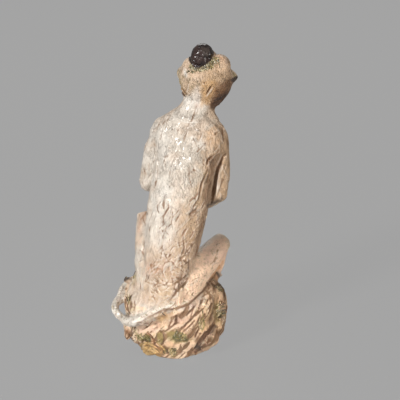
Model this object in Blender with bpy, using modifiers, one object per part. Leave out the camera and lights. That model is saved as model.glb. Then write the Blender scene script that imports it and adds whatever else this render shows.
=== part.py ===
# A glazed stoneware sculpture: a meerkat that sits upright on a boulder with its face to the sky.
# It was modelled and fired as one piece, so it is one solid with a flat underside.
# Metres, +Z up. The origin is the centre of the flat underside, the animal faces -Y,
# and its own right side is -X. Angles round the boulder are degrees from +X towards +Y.

import math

import bmesh
import bpy
import numpy as np
from mathutils import Matrix, Vector

# Whole sculpture: up to the nose, and the boulder with the tail round it
OVERALL_HEIGHT = 0.326
WIDTH_OVER_TAIL = 0.126
DEPTH_OVER_TAIL = 0.126

# Boulder
ROCK_HEIGHT = 0.070
ROCK_BELLY_HEIGHT = 0.036
ROCK_FOOT_RADIUS = 0.039
ROCK_TOP_SQUARENESS = 4.2
ROCK_FOOT_SQUARENESS = 2.25
ROCK_LOBE_DEPTH = 0.0012
RIDGE_RADIUS = 0.0036
SLAB_THICKNESS = 0.007
BARK_RADIUS = 0.0048
BARK_RISE = 0.008

# Leaves and pebbles on the boulder
BEAN_LENGTH = 0.022
BEAN_WIDTH = 0.012
DISC_LENGTH = 0.019
DISC_WIDTH = 0.009
LEAF_THICKNESS = 0.005
LEAF_VEIN_RADIUS = 0.0018
SPRIG_LENGTH = 0.009
SPRIG_RADIUS = 0.0036
BLADE_HEIGHT = 0.019
BLADE_RADIUS = 0.0028

# Torso, along the spine from the middle of the pelvis to the base of the neck
TORSO_LEAN_FORWARD = 10.2
TORSO_LEAN_RIGHT = 7.5
BACK_BOW = 0.006
SEAT_RISE = 0.013
SEAT_SETBACK = 0.0225
SEAT_OFFSET = 0.0015
RUMP_WIDTH = 0.050
RUMP_DEPTH = 0.048
RUMP_HEIGHT = 0.046
RUMP_SETBACK = 0.0025
RUMP_DROP = 0.009
HIP_WIDTH = 0.050
BELLY_WIDTH = 0.062
CHEST_WIDTH = 0.063
SHOULDER_WIDTH = 0.066
NECK_WIDTH = 0.031
HIP_DEPTH = 0.050
BELLY_DEPTH = 0.056
CHEST_DEPTH = 0.051
SHOULDER_DEPTH = 0.040
NECK_DEPTH = 0.032
NECK_LENGTH = 0.0315
NECK_LEAN_FORWARD = 5.0
NECK_LEAN_RIGHT = 16.5
SPINE_FURROW_DEPTH = 0.0015
SHOULDER_BLADE_RISE = 0.0018
SHOULDER_BLADE_LENGTH = 0.044
SHOULDER_BLADE_WIDTH = 0.030
SHOULDER_BLADE_DEPTH = 0.022
SHOULDER_BLADE_SPAN = 0.040

# Head, thrown back past the vertical
HEAD_TILT_BACK = 23.0
HEAD_YAW = 18.0
HEAD_TURN = 7.0
HEAD_LENGTH = 0.060
HEAD_WIDTH = 0.055
HEAD_DEPTH = 0.046
MUZZLE_RADIUS = 0.0118
MUZZLE_LENGTH = 0.028
MUZZLE_REACH = 0.032
MUZZLE_OFFSET = 0.0035
NOSE_RADIUS = 0.0042
BROW_RADIUS = 0.0120
BROW_SPAN = 0.027
BROW_PLACE = 0.015
RIGHT_BROW_RISE = 0.006
FOREHEAD_WIDTH = 0.042
FOREHEAD_HEIGHT = 0.026
FOREHEAD_DEPTH = 0.030
FOREHEAD_OFFSET = 0.003
FOREHEAD_PLACE = 0.013
JAW_RADIUS = 0.010
EYE_RADIUS = 0.0060
EYE_SPAN = 0.050
EYE_PLACE = 0.004
EYE_DROP = 0.007
LEFT_LID_REACH = 0.0045
RIGHT_LID_REACH = 0.0075
LID_RADIUS = 0.0030
EAR_REACH = 0.0052
EAR_LENGTH = 0.0140
EAR_THICKNESS = 0.0080
EAR_SPAN = 0.0345
EAR_OFFSET = 0.0020
EAR_PLACE = 0.0125

# Arms, folded so that the paws lie on the belly
SHOULDER_SPAN = 0.061
SHOULDER_OFFSET = 0.003
SHOULDER_DROP = 0.023
SHOULDER_TILT = 0.002
SHOULDER_RADIUS = 0.0108
UPPER_ARM_LENGTH = 0.061
UPPER_ARM_RADIUS = 0.0095
ELBOW_RADIUS = 0.0085
WRIST_RADIUS = 0.0060
FOREARM_LENGTH = 0.044
ARM_BOW = 0.0026
PAW_LENGTH = 0.017
PAW_WIDTH = 0.013
FINGER_RADIUS = 0.0022

# Legs, with the knees drawn up
HIP_SPAN = 0.036
HIP_DROP = 0.009
THIGH_LENGTH = 0.068
THIGH_RADIUS = 0.0146
KNEE_RADIUS = 0.0104
ANKLE_RADIUS = 0.0070
FOOT_LENGTH = 0.027
FOOT_WIDTH = 0.013
FOOT_THICKNESS = 0.009
TOE_RADIUS = 0.0024

# Tail, round the boulder's left side and across its front
TAIL_ROOT_RADIUS = 0.0080
TAIL_RADIUS = 0.0054
TAIL_TIP_RADIUS = 0.0042
TAIL_BEND_RADIUS = 0.0043
TAIL_STAND_OFF = 0.0115

# Unevenness left by the modelling tool: long strokes on the body
STROKE_DEPTH = 0.0016
STROKE_WIDTH = 0.0045
STROKE_LENGTH = 0.016

# Resolution of the fused clay
CLAY_CELL = 0.0016
BLEND_PASSES = 6
FACET_BUDGET = 11400
RING_POINTS = 40

COLLECTION_NAME = "meerkat_sculpture"
CREAM_GLAZE = (0.58, 0.46, 0.34, 1.0)
GLAZE_ROUGHNESS = 0.38


def direction(azimuth, elevation):
    # Unit vector: azimuth in degrees from +X towards +Y, elevation above the horizontal.
    turn, rise = math.radians(azimuth), math.radians(elevation)
    return Vector((math.cos(turn) * math.cos(rise), math.sin(turn) * math.cos(rise), math.sin(rise)))


def smooth_rows(rows, steps):
    # Catmull-Rom curve through rows of numbers, with steps samples between two rows.
    rows = np.array(rows, dtype=float)
    padded = np.vstack([2 * rows[0] - rows[1], rows, 2 * rows[-1] - rows[-2]])
    samples = []
    for first in range(len(rows) - 1):
        before, start, end, after = padded[first:first + 4]
        for t in np.arange(steps) / steps:
            samples.append(0.5 * (2 * start + (end - before) * t
                                  + (2 * before - 5 * start + 4 * end - after) * t ** 2
                                  + (3 * start - before - 3 * end + after) * t ** 3))
    samples.append(rows[-1])
    return np.array(samples)


def add_rings(name, rings):
    # Closed solid through rings of equal point counts, with a fan at each end.
    mesh = bmesh.new()
    loops = [[mesh.verts.new(point) for point in ring] for ring in rings]
    for lower, upper in zip(loops, loops[1:]):
        for index in range(len(lower)):
            following = (index + 1) % len(lower)
            mesh.faces.new((lower[index], lower[following], upper[following], upper[index]))
    for loop in (loops[0], loops[-1]):
        pole = mesh.verts.new(sum((corner.co for corner in loop), Vector()) / len(loop))
        for index in range(len(loop)):
            mesh.faces.new((loop[index], loop[(index + 1) % len(loop)], pole))
    bmesh.ops.recalc_face_normals(mesh, faces=mesh.faces[:])
    return add_mesh(name, mesh)


def add_mesh(name, mesh):
    data = bpy.data.meshes.new(name)
    mesh.to_mesh(data)
    mesh.free()
    form = bpy.data.objects.new(name, data)
    bpy.context.scene.collection.objects.link(form)
    return form


def section(centre, side, front, half_width, front_depth, back_depth, relief=None):
    # Oval ring: half_width to each side, and its own depth in front and behind.
    points = []
    for angle in np.arange(RING_POINTS) * 2 * math.pi / RING_POINTS:
        across, along = math.cos(angle), math.sin(angle)
        depth = front_depth if along > 0 else back_depth
        swell = relief(angle) if relief else 0.0
        points.append(centre + side * across * (half_width + swell) + front * along * (depth + swell))
    return points


def loft(name, stations, side, steps=6, relief=None):
    # A station is (x, y, z, half width, front depth, back depth). Sections stand square to the path.
    rows = smooth_rows(stations, steps)
    path = [Vector(row[:3]) for row in rows]
    rings = []
    for index, row in enumerate(rows):
        tangent = (path[min(index + 1, len(path) - 1)] - path[max(index - 1, 0)]).normalized()
        across = (side - tangent * side.dot(tangent)).normalized()
        front = across.cross(tangent)
        share = index / (len(rows) - 1)
        ring_relief = (lambda angle, share=share: relief(share, angle)) if relief else None
        rings.append(section(path[index], across, front, row[3], row[4], row[5], ring_relief))
    return add_rings(name, rings)


def tube(name, points, radii):
    # Tapered round rod: a smooth curve through the points with a radius at each.
    curve = bpy.data.curves.new(name, "CURVE")
    curve.dimensions = "3D"
    curve.bevel_depth = 1.0
    curve.bevel_resolution = 4
    curve.resolution_u = 8
    curve.use_fill_caps = True
    spline = curve.splines.new("BEZIER")
    spline.bezier_points.add(len(points) - 1)
    for knot, point, radius in zip(spline.bezier_points, points, radii):
        knot.co = point
        knot.radius = radius
        knot.handle_left_type = knot.handle_right_type = "AUTO"
    form = bpy.data.objects.new(name, curve)
    bpy.context.scene.collection.objects.link(form)
    return form


def ellipsoid(name, centre, axes, radii):
    # axes are three unit vectors square to each other, radii the half lengths along them.
    mesh = bmesh.new()
    bmesh.ops.create_uvsphere(mesh, u_segments=24, v_segments=16, radius=1.0)
    shape = Matrix([axis * radius for axis, radius in zip(axes, radii)]).transposed().to_4x4()
    bmesh.ops.transform(mesh, matrix=Matrix.Translation(centre) @ shape, verts=mesh.verts[:])
    bmesh.ops.recalc_face_normals(mesh, faces=mesh.faces[:])
    return add_mesh(name, mesh)


def frame_along(axis, up):
    # Three unit vectors: the axis, the part of up that is square to it, and the third.
    axis = axis.normalized()
    lift = (up - axis * up.dot(axis)).normalized()
    return axis, lift, axis.cross(lift)


# The boulder is a squared ovoid: widest at its belly, cut flat where it stands.

ROCK_RADIUS = WIDTH_OVER_TAIL / 2 - TAIL_STAND_OFF
ROCK_DEPTH_SHARE = (DEPTH_OVER_TAIL / 2 - TAIL_STAND_OFF) / ROCK_RADIUS


def rock_radius(height):
    # Half the boulder's width at a height.
    rise = height - ROCK_BELLY_HEIGHT
    if rise > 0:
        reach, power = ROCK_HEIGHT - ROCK_BELLY_HEIGHT, ROCK_TOP_SQUARENESS
    else:
        power = ROCK_FOOT_SQUARENESS
        foot_share = (ROCK_FOOT_RADIUS / ROCK_RADIUS) ** power
        reach = ROCK_BELLY_HEIGHT / (1 - foot_share) ** (1 / power)
    left = 1 - min(abs(rise) / reach, 1.0) ** power
    return ROCK_RADIUS * left ** (1 / power)


def rock_lobe(angle, share):
    turn = math.radians(angle)
    return ROCK_LOBE_DEPTH * (math.cos(3 * turn + 1.0) + math.sin(5 * turn + 4 * share)
                              + 0.7 * math.cos(8 * turn - 6 * share))


def rock_point(angle, share, out=0.0):
    # Point on the boulder at a share of its height, moved outwards by out.
    turn = math.radians(angle)
    reach = rock_radius(share * ROCK_HEIGHT) + rock_lobe(angle, share) + out
    return Vector((reach * math.cos(turn), reach * math.sin(turn) * ROCK_DEPTH_SHARE, share * ROCK_HEIGHT))


def rock_axes(angle, share):
    # Outward, along the boulder's girth, and up its side.
    outward = (rock_point(angle, share, 0.01) - rock_point(angle, share)).normalized()
    girth = direction(angle + 90, 0)
    return outward, girth, outward.cross(girth)


def rock_core():
    rings = []
    for share in np.concatenate([np.linspace(-0.08, 0.9, 15), [0.94, 0.97, 0.985, 0.995]]):
        rings.append([rock_point(angle, share) for angle in np.arange(0, 360, 360 / 72)])
    return [add_rings("rock_core", rings)]


# Ridges of clay laid slantwise over the boulder: angle and height share of each end,
# and the girth as a share of the ridge radius.
BACK_RIDGES = (
    (88, 0.22, 112, 0.62, 1.0), (97, 0.14, 124, 0.66, 1.1), (108, 0.10, 134, 0.58, 0.9),
    (117, 0.36, 146, 0.86, 1.2), (124, 0.08, 150, 0.52, 1.0), (70, 0.36, 92, 0.66, 0.9),
    (140, 0.62, 166, 0.90, 1.1), (56, 0.18, 74, 0.46, 1.0), (168, 0.62, 186, 0.92, 1.2),
    (100, 0.62, 122, 0.88, 0.9), (40, 0.10, 56, 0.40, 1.1), (146, 0.34, 160, 0.62, 0.8),
)
FRONT_RIDGE_COUNT = 12
FRONT_RIDGE_START = 196
FRONT_RIDGE_STEP = 15


def ridge(name, start_angle, start_share, end_angle, end_share, girth):
    points = []
    for t in (0.0, 0.33, 0.67, 1.0):
        angle = start_angle + (end_angle - start_angle) * t
        share = start_share + (end_share - start_share) * t
        points.append(rock_point(angle, share, -0.2 * RIDGE_RADIUS))
    radius = RIDGE_RADIUS * girth
    return tube(name, points, (0.5 * radius, radius, radius, 0.5 * radius))


def rock_ridges():
    forms = []
    for index, ends in enumerate(BACK_RIDGES):
        forms.append(ridge(f"ridge_{index}", *ends))
    for index in range(FRONT_RIDGE_COUNT):
        angle = FRONT_RIDGE_START + index * FRONT_RIDGE_STEP
        low = 0.10 + 0.22 * (index % 3)
        forms.append(ridge(f"front_ridge_{index}", angle, low, angle + 20, low + 0.40, 1.0))
    return forms


# Upright strips of bark that stand round the boulder's left rim: angle, foot share, girth.
BARK_STRIPS = ((11, 0.60, 0.9), (24, 0.50, 0.95), (35, 0.54, 1.1), (47, 0.46, 1.0),
               (60, 0.54, 1.0), (73, 0.60, 0.8), (-2, 0.60, 0.9), (-16, 0.56, 0.8))


def bark_strips():
    forms = []
    for index, (angle, foot, girth) in enumerate(BARK_STRIPS):
        radius = BARK_RADIUS * girth
        top = rock_point(angle + 4, 0.88, -0.6 * radius) + Vector((0, 0, BARK_RISE))
        points = (rock_point(angle, foot), rock_point(angle + 3, 0.76), top)
        forms.append(tube(f"bark_{index}", points, (0.5 * radius, radius, 0.8 * radius)))
    return forms


# Flat slabs pressed on the sides: angle, height share, length along the girth, height.
SLABS = ((162, 0.26, 0.026, 0.022), (182, 0.42, 0.022, 0.030), (112, 0.05, 0.026, 0.010),
         (230, 0.30, 0.030, 0.028), (285, 0.40, 0.034, 0.026), (330, 0.26, 0.028, 0.026),
         (14, 0.22, 0.026, 0.024), (46, 0.24, 0.020, 0.016))


def rock_slabs():
    forms = []
    for index, (angle, share, length, height) in enumerate(SLABS):
        radii = (SLAB_THICKNESS / 2, length / 2, height / 2)
        forms.append(ellipsoid(f"slab_{index}", rock_point(angle, share), rock_axes(angle, share), radii))
    return forms


BEAN_ANGLE, BEAN_SHARE, BEAN_SLANT = 74, 0.10, 12
DISC_ANGLE, DISC_SHARE = 84, 0.40
LOOP_ANGLE, LOOP_SHARE, LOOP_TURN = 141, 0.56, 62
SPRIG_ANGLE, BLADE_ANGLE, RIM_SHARE = 17, 36, 0.88
STRIP_START, STRIP_END = (72, 0.36), (95, 0.06)


def leaves():
    # A bean-shaped leaf, an oval disc, a looped leaf and a strip; a sprig and a blade of grass on the rim.
    outward, girth, upward = rock_axes(BEAN_ANGLE, BEAN_SHARE)
    tilt = Matrix.Rotation(math.radians(BEAN_SLANT), 3, outward)
    bean_axes = (outward, tilt @ girth, tilt @ upward)
    bean_radii = (LEAF_THICKNESS * 0.8, BEAN_LENGTH / 2, BEAN_WIDTH / 2)
    bean_place = rock_point(BEAN_ANGLE, BEAN_SHARE, LEAF_THICKNESS * 0.3)
    forms = [ellipsoid("bean_leaf", bean_place, bean_axes, bean_radii)]

    disc_radii = (LEAF_THICKNESS / 2, DISC_WIDTH / 2, DISC_LENGTH / 2)
    disc_place = rock_point(DISC_ANGLE, DISC_SHARE, LEAF_THICKNESS * 0.3)
    forms.append(ellipsoid("disc_leaf", disc_place, rock_axes(DISC_ANGLE, DISC_SHARE), disc_radii))

    middle = rock_point(LOOP_ANGLE, LOOP_SHARE)
    outward, girth, upward = rock_axes(LOOP_ANGLE, LOOP_SHARE)
    half_length, half_width = DISC_LENGTH * 0.62, DISC_WIDTH * 0.45
    loop = []
    for turn in range(0, 331, 30):
        across = half_width * math.sin(math.radians(turn))
        along = half_length * math.cos(math.radians(turn))
        loop.append(middle + girth * across + upward * along)
    forms.append(tube("looped_leaf", loop, [LEAF_VEIN_RADIUS] * len(loop)))

    strip = [rock_point(*STRIP_START), rock_point(83, 0.2, LEAF_VEIN_RADIUS / 2), rock_point(*STRIP_END)]
    forms.append(tube("strip_leaf", strip, [LEAF_VEIN_RADIUS] * 3))

    root = rock_point(SPRIG_ANGLE, RIM_SHARE) + Vector((0, 0, BARK_RISE))
    tip = root + direction(SPRIG_ANGLE, 10) * SPRIG_LENGTH
    forms.append(tube("sprig", (root, (root + tip) / 2, tip), (SPRIG_RADIUS * 0.8, SPRIG_RADIUS, SPRIG_RADIUS * 0.8)))

    root = rock_point(BLADE_ANGLE, RIM_SHARE, -BLADE_RADIUS)
    tip = root + Vector((0, 0, BLADE_HEIGHT))
    forms.append(tube("blade", (root, (root + tip) / 2, tip), (BLADE_RADIUS, BLADE_RADIUS, BLADE_RADIUS * 0.7)))
    return forms


def leaning(forward, right):
    # Upright unit vector that leans by two angles in degrees.
    return Vector((-math.tan(math.radians(right)), -math.tan(math.radians(forward)), 1)).normalized()


# The head has its own frame: nose points up and back, crown faces the back.

HEAD_POSE = (Matrix.Rotation(math.radians(HEAD_YAW), 3, "Z")
             @ Matrix.Rotation(math.radians(-HEAD_TILT_BACK), 3, "X")
             @ Matrix.Rotation(math.radians(-HEAD_TURN), 3, "Z"))
EAR_SIDE, CROWN, NOSE = (HEAD_POSE.col[index].copy() for index in range(3))

# The torso is a loft along a spine that leans forward and to the animal's right.
# It is as long as the overall height leaves between the pelvis and the base of the neck.

SPINE = leaning(TORSO_LEAN_FORWARD, TORSO_LEAN_RIGHT)
SIDE = (Vector((1, 0, 0)) - SPINE * SPINE.x).normalized()
FRONT = SIDE.cross(SPINE)
PELVIS = Vector((SEAT_OFFSET, SEAT_SETBACK, ROCK_HEIGHT + SEAT_RISE))
NECK = leaning(NECK_LEAN_FORWARD, NECK_LEAN_RIGHT) * NECK_LENGTH
NOSE_RISE = NOSE.z * (MUZZLE_REACH + MUZZLE_LENGTH / 2)
TORSO_LENGTH = (OVERALL_HEIGHT - NOSE_RISE - NECK.z - PELVIS.z) / SPINE.z
NECK_BASE = PELVIS + SPINE * TORSO_LENGTH
SKULL = NECK_BASE + NECK


def spine_point(share, side=0.0, front=0.0):
    # Point at a share of the torso's length; the back bows out halfway up.
    bow = BACK_BOW * math.sin(math.pi * min(max(share, 0.0), 1.0))
    return PELVIS + SPINE * (TORSO_LENGTH * share) + SIDE * side + FRONT * (front - bow)


def back_relief(share, angle):
    # A furrow down the middle of the back, between two shoulder blades near the top.
    behind = -math.sin(angle)
    across = abs(math.cos(angle))
    if behind < 0:
        return 0.0
    furrow = SPINE_FURROW_DEPTH * math.exp(-(across / 0.16) ** 2)
    blade = SHOULDER_BLADE_RISE * math.exp(-((across - 0.55) / 0.25) ** 2 - ((share - 0.76) / 0.09) ** 2)
    return blade - furrow


def torso():
    stations = (
        (-0.16, HIP_WIDTH * 0.45, HIP_DEPTH * 0.45), (-0.09, HIP_WIDTH * 0.9, HIP_DEPTH * 0.9),
        (0.06, HIP_WIDTH, HIP_DEPTH), (0.22, (HIP_WIDTH + BELLY_WIDTH) / 2, BELLY_DEPTH),
        (0.40, BELLY_WIDTH, BELLY_DEPTH), (0.64, CHEST_WIDTH, CHEST_DEPTH),
        (0.82, SHOULDER_WIDTH, (CHEST_DEPTH + SHOULDER_DEPTH) / 2),
        (0.92, SHOULDER_WIDTH * 0.84, SHOULDER_DEPTH), (1.0, NECK_WIDTH * 1.16, NECK_DEPTH * 1.1),
    )
    rows = []
    for share, width, depth in stations:
        rows.append((*spine_point(share), width / 2, depth * 0.52, depth * 0.48))
    rows.append((*NECK_BASE.lerp(SKULL, 0.5), NECK_WIDTH / 2, NECK_DEPTH / 2, NECK_DEPTH / 2))
    rows.append((*SKULL, NECK_WIDTH / 2, NECK_DEPTH / 2, NECK_DEPTH / 2))
    forms = [loft("torso", rows, SIDE, relief=back_relief)]

    # The rump settles over the boulder's back rim.
    upright = (Vector((1, 0, 0)), Vector((0, 1, 0)), Vector((0, 0, 1)))
    rump = PELVIS + Vector((0, RUMP_SETBACK, -RUMP_DROP))
    forms.append(ellipsoid("rump", rump, upright, (RUMP_WIDTH / 2, RUMP_DEPTH / 2, RUMP_HEIGHT / 2)))
    return forms


def head_point(side, nose, crown):
    return SKULL + EAR_SIDE * side + NOSE * nose + CROWN * crown


def head():
    half = HEAD_LENGTH / 2
    stations = (
        (-1.0, 0.32, 0.40, 0.34), (-0.78, 0.57, 0.72, 0.62), (-0.30, 0.88, 0.96, 0.94),
        (0.12, 1.0, 1.0, 0.98), (0.48, 0.95, 0.90, 0.92), (0.76, 0.78, 0.72, 0.76), (0.98, 0.46, 0.46, 0.50),
    )
    rows = []
    for place, width, throat, crown in stations:
        centre = head_point(0, place * half, 0)
        rows.append((*centre, width * HEAD_WIDTH / 2, throat * HEAD_DEPTH / 2, crown * HEAD_DEPTH / 2))
    forms = [loft("skull", rows, EAR_SIDE)]

    muzzle = head_point(MUZZLE_OFFSET, MUZZLE_REACH, 0)
    axes = (EAR_SIDE, NOSE, CROWN)
    forms.append(ellipsoid("muzzle", muzzle, axes, (MUZZLE_RADIUS, MUZZLE_LENGTH / 2, MUZZLE_RADIUS)))
    nose_place = muzzle + NOSE * (MUZZLE_LENGTH / 2 - NOSE_RADIUS * 0.8)
    forms.append(ellipsoid("nose", nose_place, axes, (NOSE_RADIUS, NOSE_RADIUS, NOSE_RADIUS)))
    jaw = head_point(0, MUZZLE_REACH - 0.010, -JAW_RADIUS * 0.9)
    forms.append(ellipsoid("jaw", jaw, axes, (JAW_RADIUS, JAW_RADIUS * 1.3, JAW_RADIUS)))

    forehead = head_point(-FOREHEAD_OFFSET, FOREHEAD_PLACE, HEAD_DEPTH * 0.1)
    forehead_radii = (FOREHEAD_WIDTH / 2, FOREHEAD_HEIGHT / 2, FOREHEAD_DEPTH / 2)
    forms.append(ellipsoid("forehead", forehead, axes, forehead_radii))

    for sign, name, lid_reach, rise in ((1, "left", LEFT_LID_REACH, 0.0),
                                        (-1, "right", RIGHT_LID_REACH, RIGHT_BROW_RISE)):
        brow = head_point(sign * BROW_SPAN / 2, BROW_PLACE + rise, 0)
        forms.append(ellipsoid(f"{name}_brow", brow, axes, (BROW_RADIUS, BROW_RADIUS * 1.1, BROW_RADIUS)))
        eye = head_point(sign * EYE_SPAN / 2, EYE_PLACE, -EYE_DROP)
        forms.append(ellipsoid(f"{name}_eye", eye, axes, (EYE_RADIUS, EYE_RADIUS * 1.25, EYE_RADIUS)))
        lid = eye + EAR_SIDE * (sign * lid_reach) - NOSE * EYE_RADIUS * 0.2
        forms.append(tube(f"{name}_lid", (eye, eye.lerp(lid, 0.6), lid),
                          (EYE_RADIUS * 0.9, LID_RADIUS * 1.4, LID_RADIUS * 0.4)))
        ear = head_point(sign * EAR_SPAN / 2 + EAR_OFFSET, -EAR_PLACE, HEAD_DEPTH * 0.08)
        forms.append(ellipsoid(f"{name}_ear", ear, axes, (EAR_REACH, EAR_LENGTH / 2, EAR_THICKNESS / 2)))
    return forms


# Azimuth and elevation of the upper arm, then of the forearm, for the left and the right.
ARM_POSES = (("left", 1, (17, -76), (219, -30)), ("right", -1, (150, -89), (321, -33)))


def arms():
    forms = []
    for name, sign, upper, lower in ARM_POSES:
        shoulder = NECK_BASE - SPINE * (SHOULDER_DROP + sign * SHOULDER_TILT)
        shoulder += SIDE * (sign * SHOULDER_SPAN / 2 + SHOULDER_OFFSET)
        elbow = shoulder + direction(*upper) * UPPER_ARM_LENGTH
        reach = direction(*lower)
        wrist = elbow + reach * FOREARM_LENGTH
        middle = (shoulder + elbow) / 2 + SIDE * (sign * ARM_BOW)
        forms.append(tube(f"{name}_upper_arm", (shoulder, middle, elbow),
                          (SHOULDER_RADIUS * 0.8, UPPER_ARM_RADIUS, ELBOW_RADIUS)))
        forms.append(tube(f"{name}_forearm", (elbow, (elbow + wrist) / 2, wrist),
                          (ELBOW_RADIUS, (ELBOW_RADIUS + WRIST_RADIUS) / 2, WRIST_RADIUS)))
        upright = (Vector((1, 0, 0)), Vector((0, 1, 0)), Vector((0, 0, 1)))
        along_arm = frame_along(direction(*upper), SIDE)
        deltoid_radii = (SHOULDER_RADIUS * 1.8, SHOULDER_RADIUS, SHOULDER_RADIUS * 1.1)
        forms.append(ellipsoid(f"{name}_shoulder", shoulder.lerp(elbow, 0.12), along_arm, deltoid_radii))
        blade = NECK_BASE - SPINE * (SHOULDER_DROP * 1.25) + SIDE * (sign * SHOULDER_BLADE_SPAN / 2)
        blade_radii = (SHOULDER_BLADE_WIDTH / 2, SHOULDER_BLADE_LENGTH / 2, SHOULDER_BLADE_DEPTH / 2)
        forms.append(ellipsoid(f"{name}_shoulder_blade", blade - FRONT * (CHEST_DEPTH * 0.2),
                               (SIDE, SPINE, FRONT), blade_radii))
        nape = NECK_BASE.lerp(SKULL, 0.12)
        forms.append(tube(f"{name}_trapezius", (nape, nape.lerp(shoulder, 0.5), shoulder),
                          (NECK_WIDTH * 0.42, SHOULDER_RADIUS, SHOULDER_RADIUS * 0.95)))
        forms.append(ellipsoid(f"{name}_elbow", elbow, upright, [ELBOW_RADIUS * 1.04] * 3))
        forms += paw(name, wrist, reach, PAW_LENGTH, PAW_WIDTH, PAW_WIDTH * 0.7, FINGER_RADIUS, FRONT)
    return forms


def paw(name, wrist, reach, length, width, thickness, digit_radius, up):
    # A flattened pad with four digits that spread from its front edge.
    along, lift, across = frame_along(reach, up)
    pad = wrist + along * length * 0.35
    forms = [ellipsoid(f"{name}_paw", pad, (along, lift, across), (length / 2, thickness / 2, width / 2))]
    for index in range(4):
        spread = (index - 1.5) / 1.5
        root = pad + across * (spread * width * 0.33)
        tip = pad + along * (length * (0.72 - 0.1 * abs(spread))) + across * (spread * width * 0.5)
        tip -= lift * (thickness * 0.2)
        forms.append(tube(f"{name}_digit_{index}", (root, (root + tip) / 2, tip), [digit_radius] * 3))
    return forms


# Azimuth and elevation of the thigh, and the foot's angle and height share on the boulder.
LEG_POSES = (("left", 1, (295, 58), (308, 0.93)), ("right", -1, (248, 27), (228, 0.93)))
FOOT_AZIMUTH = 281


def legs():
    forms = []
    for name, sign, thigh, stance in LEG_POSES:
        hip = PELVIS + Vector((sign * HIP_SPAN / 2, 0, -HIP_DROP))
        knee = hip + direction(*thigh) * THIGH_LENGTH
        ankle = rock_point(stance[0], stance[1], ANKLE_RADIUS * 0.2)
        side = (knee - hip).cross(ankle - knee).normalized()
        thigh_rows = (
            (*(hip - (knee - hip) * 0.16), THIGH_RADIUS * 0.6, THIGH_RADIUS * 0.7, THIGH_RADIUS * 0.7),
            (*hip, THIGH_RADIUS * 0.95, THIGH_RADIUS * 1.1, THIGH_RADIUS * 1.1),
            (*((hip * 0.62 + knee * 0.38)), THIGH_RADIUS, THIGH_RADIUS * 1.1, THIGH_RADIUS * 1.1),
            (*knee, KNEE_RADIUS, KNEE_RADIUS, KNEE_RADIUS),
            (*(knee + (knee - hip) * 0.09), KNEE_RADIUS * 0.6, KNEE_RADIUS * 0.6, KNEE_RADIUS * 0.6),
        )
        forms.append(loft(f"{name}_thigh", thigh_rows, side))
        forms.append(tube(f"{name}_shin", (knee, (knee + ankle) / 2, ankle),
                          (KNEE_RADIUS * 0.9, (KNEE_RADIUS + ANKLE_RADIUS) / 2, ANKLE_RADIUS)))
        forward = direction(FOOT_AZIMUTH, -8)
        forms += paw(f"{name}_hind", ankle, forward, FOOT_LENGTH, FOOT_WIDTH, FOOT_THICKNESS,
                     TOE_RADIUS, Vector((0, 0, 1)))
    return forms


# Tail: angle, height share and stand-off as a share of the full one, from the rump round the left side.
# It is thinnest where it bends round the boulder, clear of it.
TAIL_ROUTE = ((107, 0.95, 0.4), (95, 0.84, 0.4), (81, 0.71, 0.5), (64, 0.58, 0.6), (42, 0.53, 0.9), (22, 0.62, 1.1),
              (6, 0.68, 0.6), (-10, 0.73, 0.6), (-28, 0.76, 0.6), (-48, 0.70, 0.5), (-68, 0.62, 0.5))


def tail():
    points = [PELVIS - FRONT * (HIP_DEPTH * 0.28) - SIDE * (HIP_WIDTH * 0.2)]
    radii = [TAIL_ROOT_RADIUS * 1.3]
    for index, (angle, share, stand_off) in enumerate(TAIL_ROUTE):
        points.append(rock_point(angle, share, stand_off * TAIL_STAND_OFF))
        if index < 2:
            radii.append(TAIL_ROOT_RADIUS * (1 - 0.15 * index))
        elif index == len(TAIL_ROUTE) - 1:
            radii.append(TAIL_TIP_RADIUS)
        else:
            radii.append(TAIL_BEND_RADIUS if stand_off > 0.8 else TAIL_RADIUS)
    return [tube("tail", points, radii)]


def glaze(name, colour, roughness):
    material = bpy.data.materials.new(name)
    material.use_nodes = True
    shader = material.node_tree.nodes["Principled BSDF"]
    shader.inputs["Base Color"].default_value = colour
    shader.inputs["Roughness"].default_value = roughness
    shader.inputs["Metallic"].default_value = 0.0
    return material


def gather(name, forms):
    # One mesh that holds every form; the forms' own objects go.
    depsgraph = bpy.context.evaluated_depsgraph_get()
    whole = bmesh.new()
    for form in forms:
        data = bpy.data.meshes.new_from_object(form.evaluated_get(depsgraph))
        data.transform(form.matrix_world)
        whole.from_mesh(data)
        bpy.data.meshes.remove(data)
    bmesh.ops.remove_doubles(whole, verts=whole.verts[:], dist=1e-6)
    bmesh.ops.recalc_face_normals(whole, faces=whole.faces[:])
    clay = bpy.data.meshes.new(name)
    whole.to_mesh(clay)
    whole.free()
    for form in forms:
        bpy.data.objects.remove(form)
    return clay


def collection(name):
    group = bpy.data.collections.new(name)
    bpy.context.scene.collection.children.link(group)
    return group


def stand_cutter(group):
    # A block whose top is the plane that the sculpture stands on.
    mesh = bmesh.new()
    bmesh.ops.create_cube(mesh, size=1.0)
    depth = ROCK_RADIUS
    bmesh.ops.scale(mesh, vec=(6 * ROCK_RADIUS, 6 * ROCK_RADIUS, depth), verts=mesh.verts[:])
    bmesh.ops.translate(mesh, vec=(0, 0, -depth / 2), verts=mesh.verts[:])
    cutter = add_mesh("stand_cutter", mesh)
    bpy.context.scene.collection.objects.unlink(cutter)
    group.objects.link(cutter)
    cutter.hide_render = True
    cutter.display_type = "WIRE"
    return cutter


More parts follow.
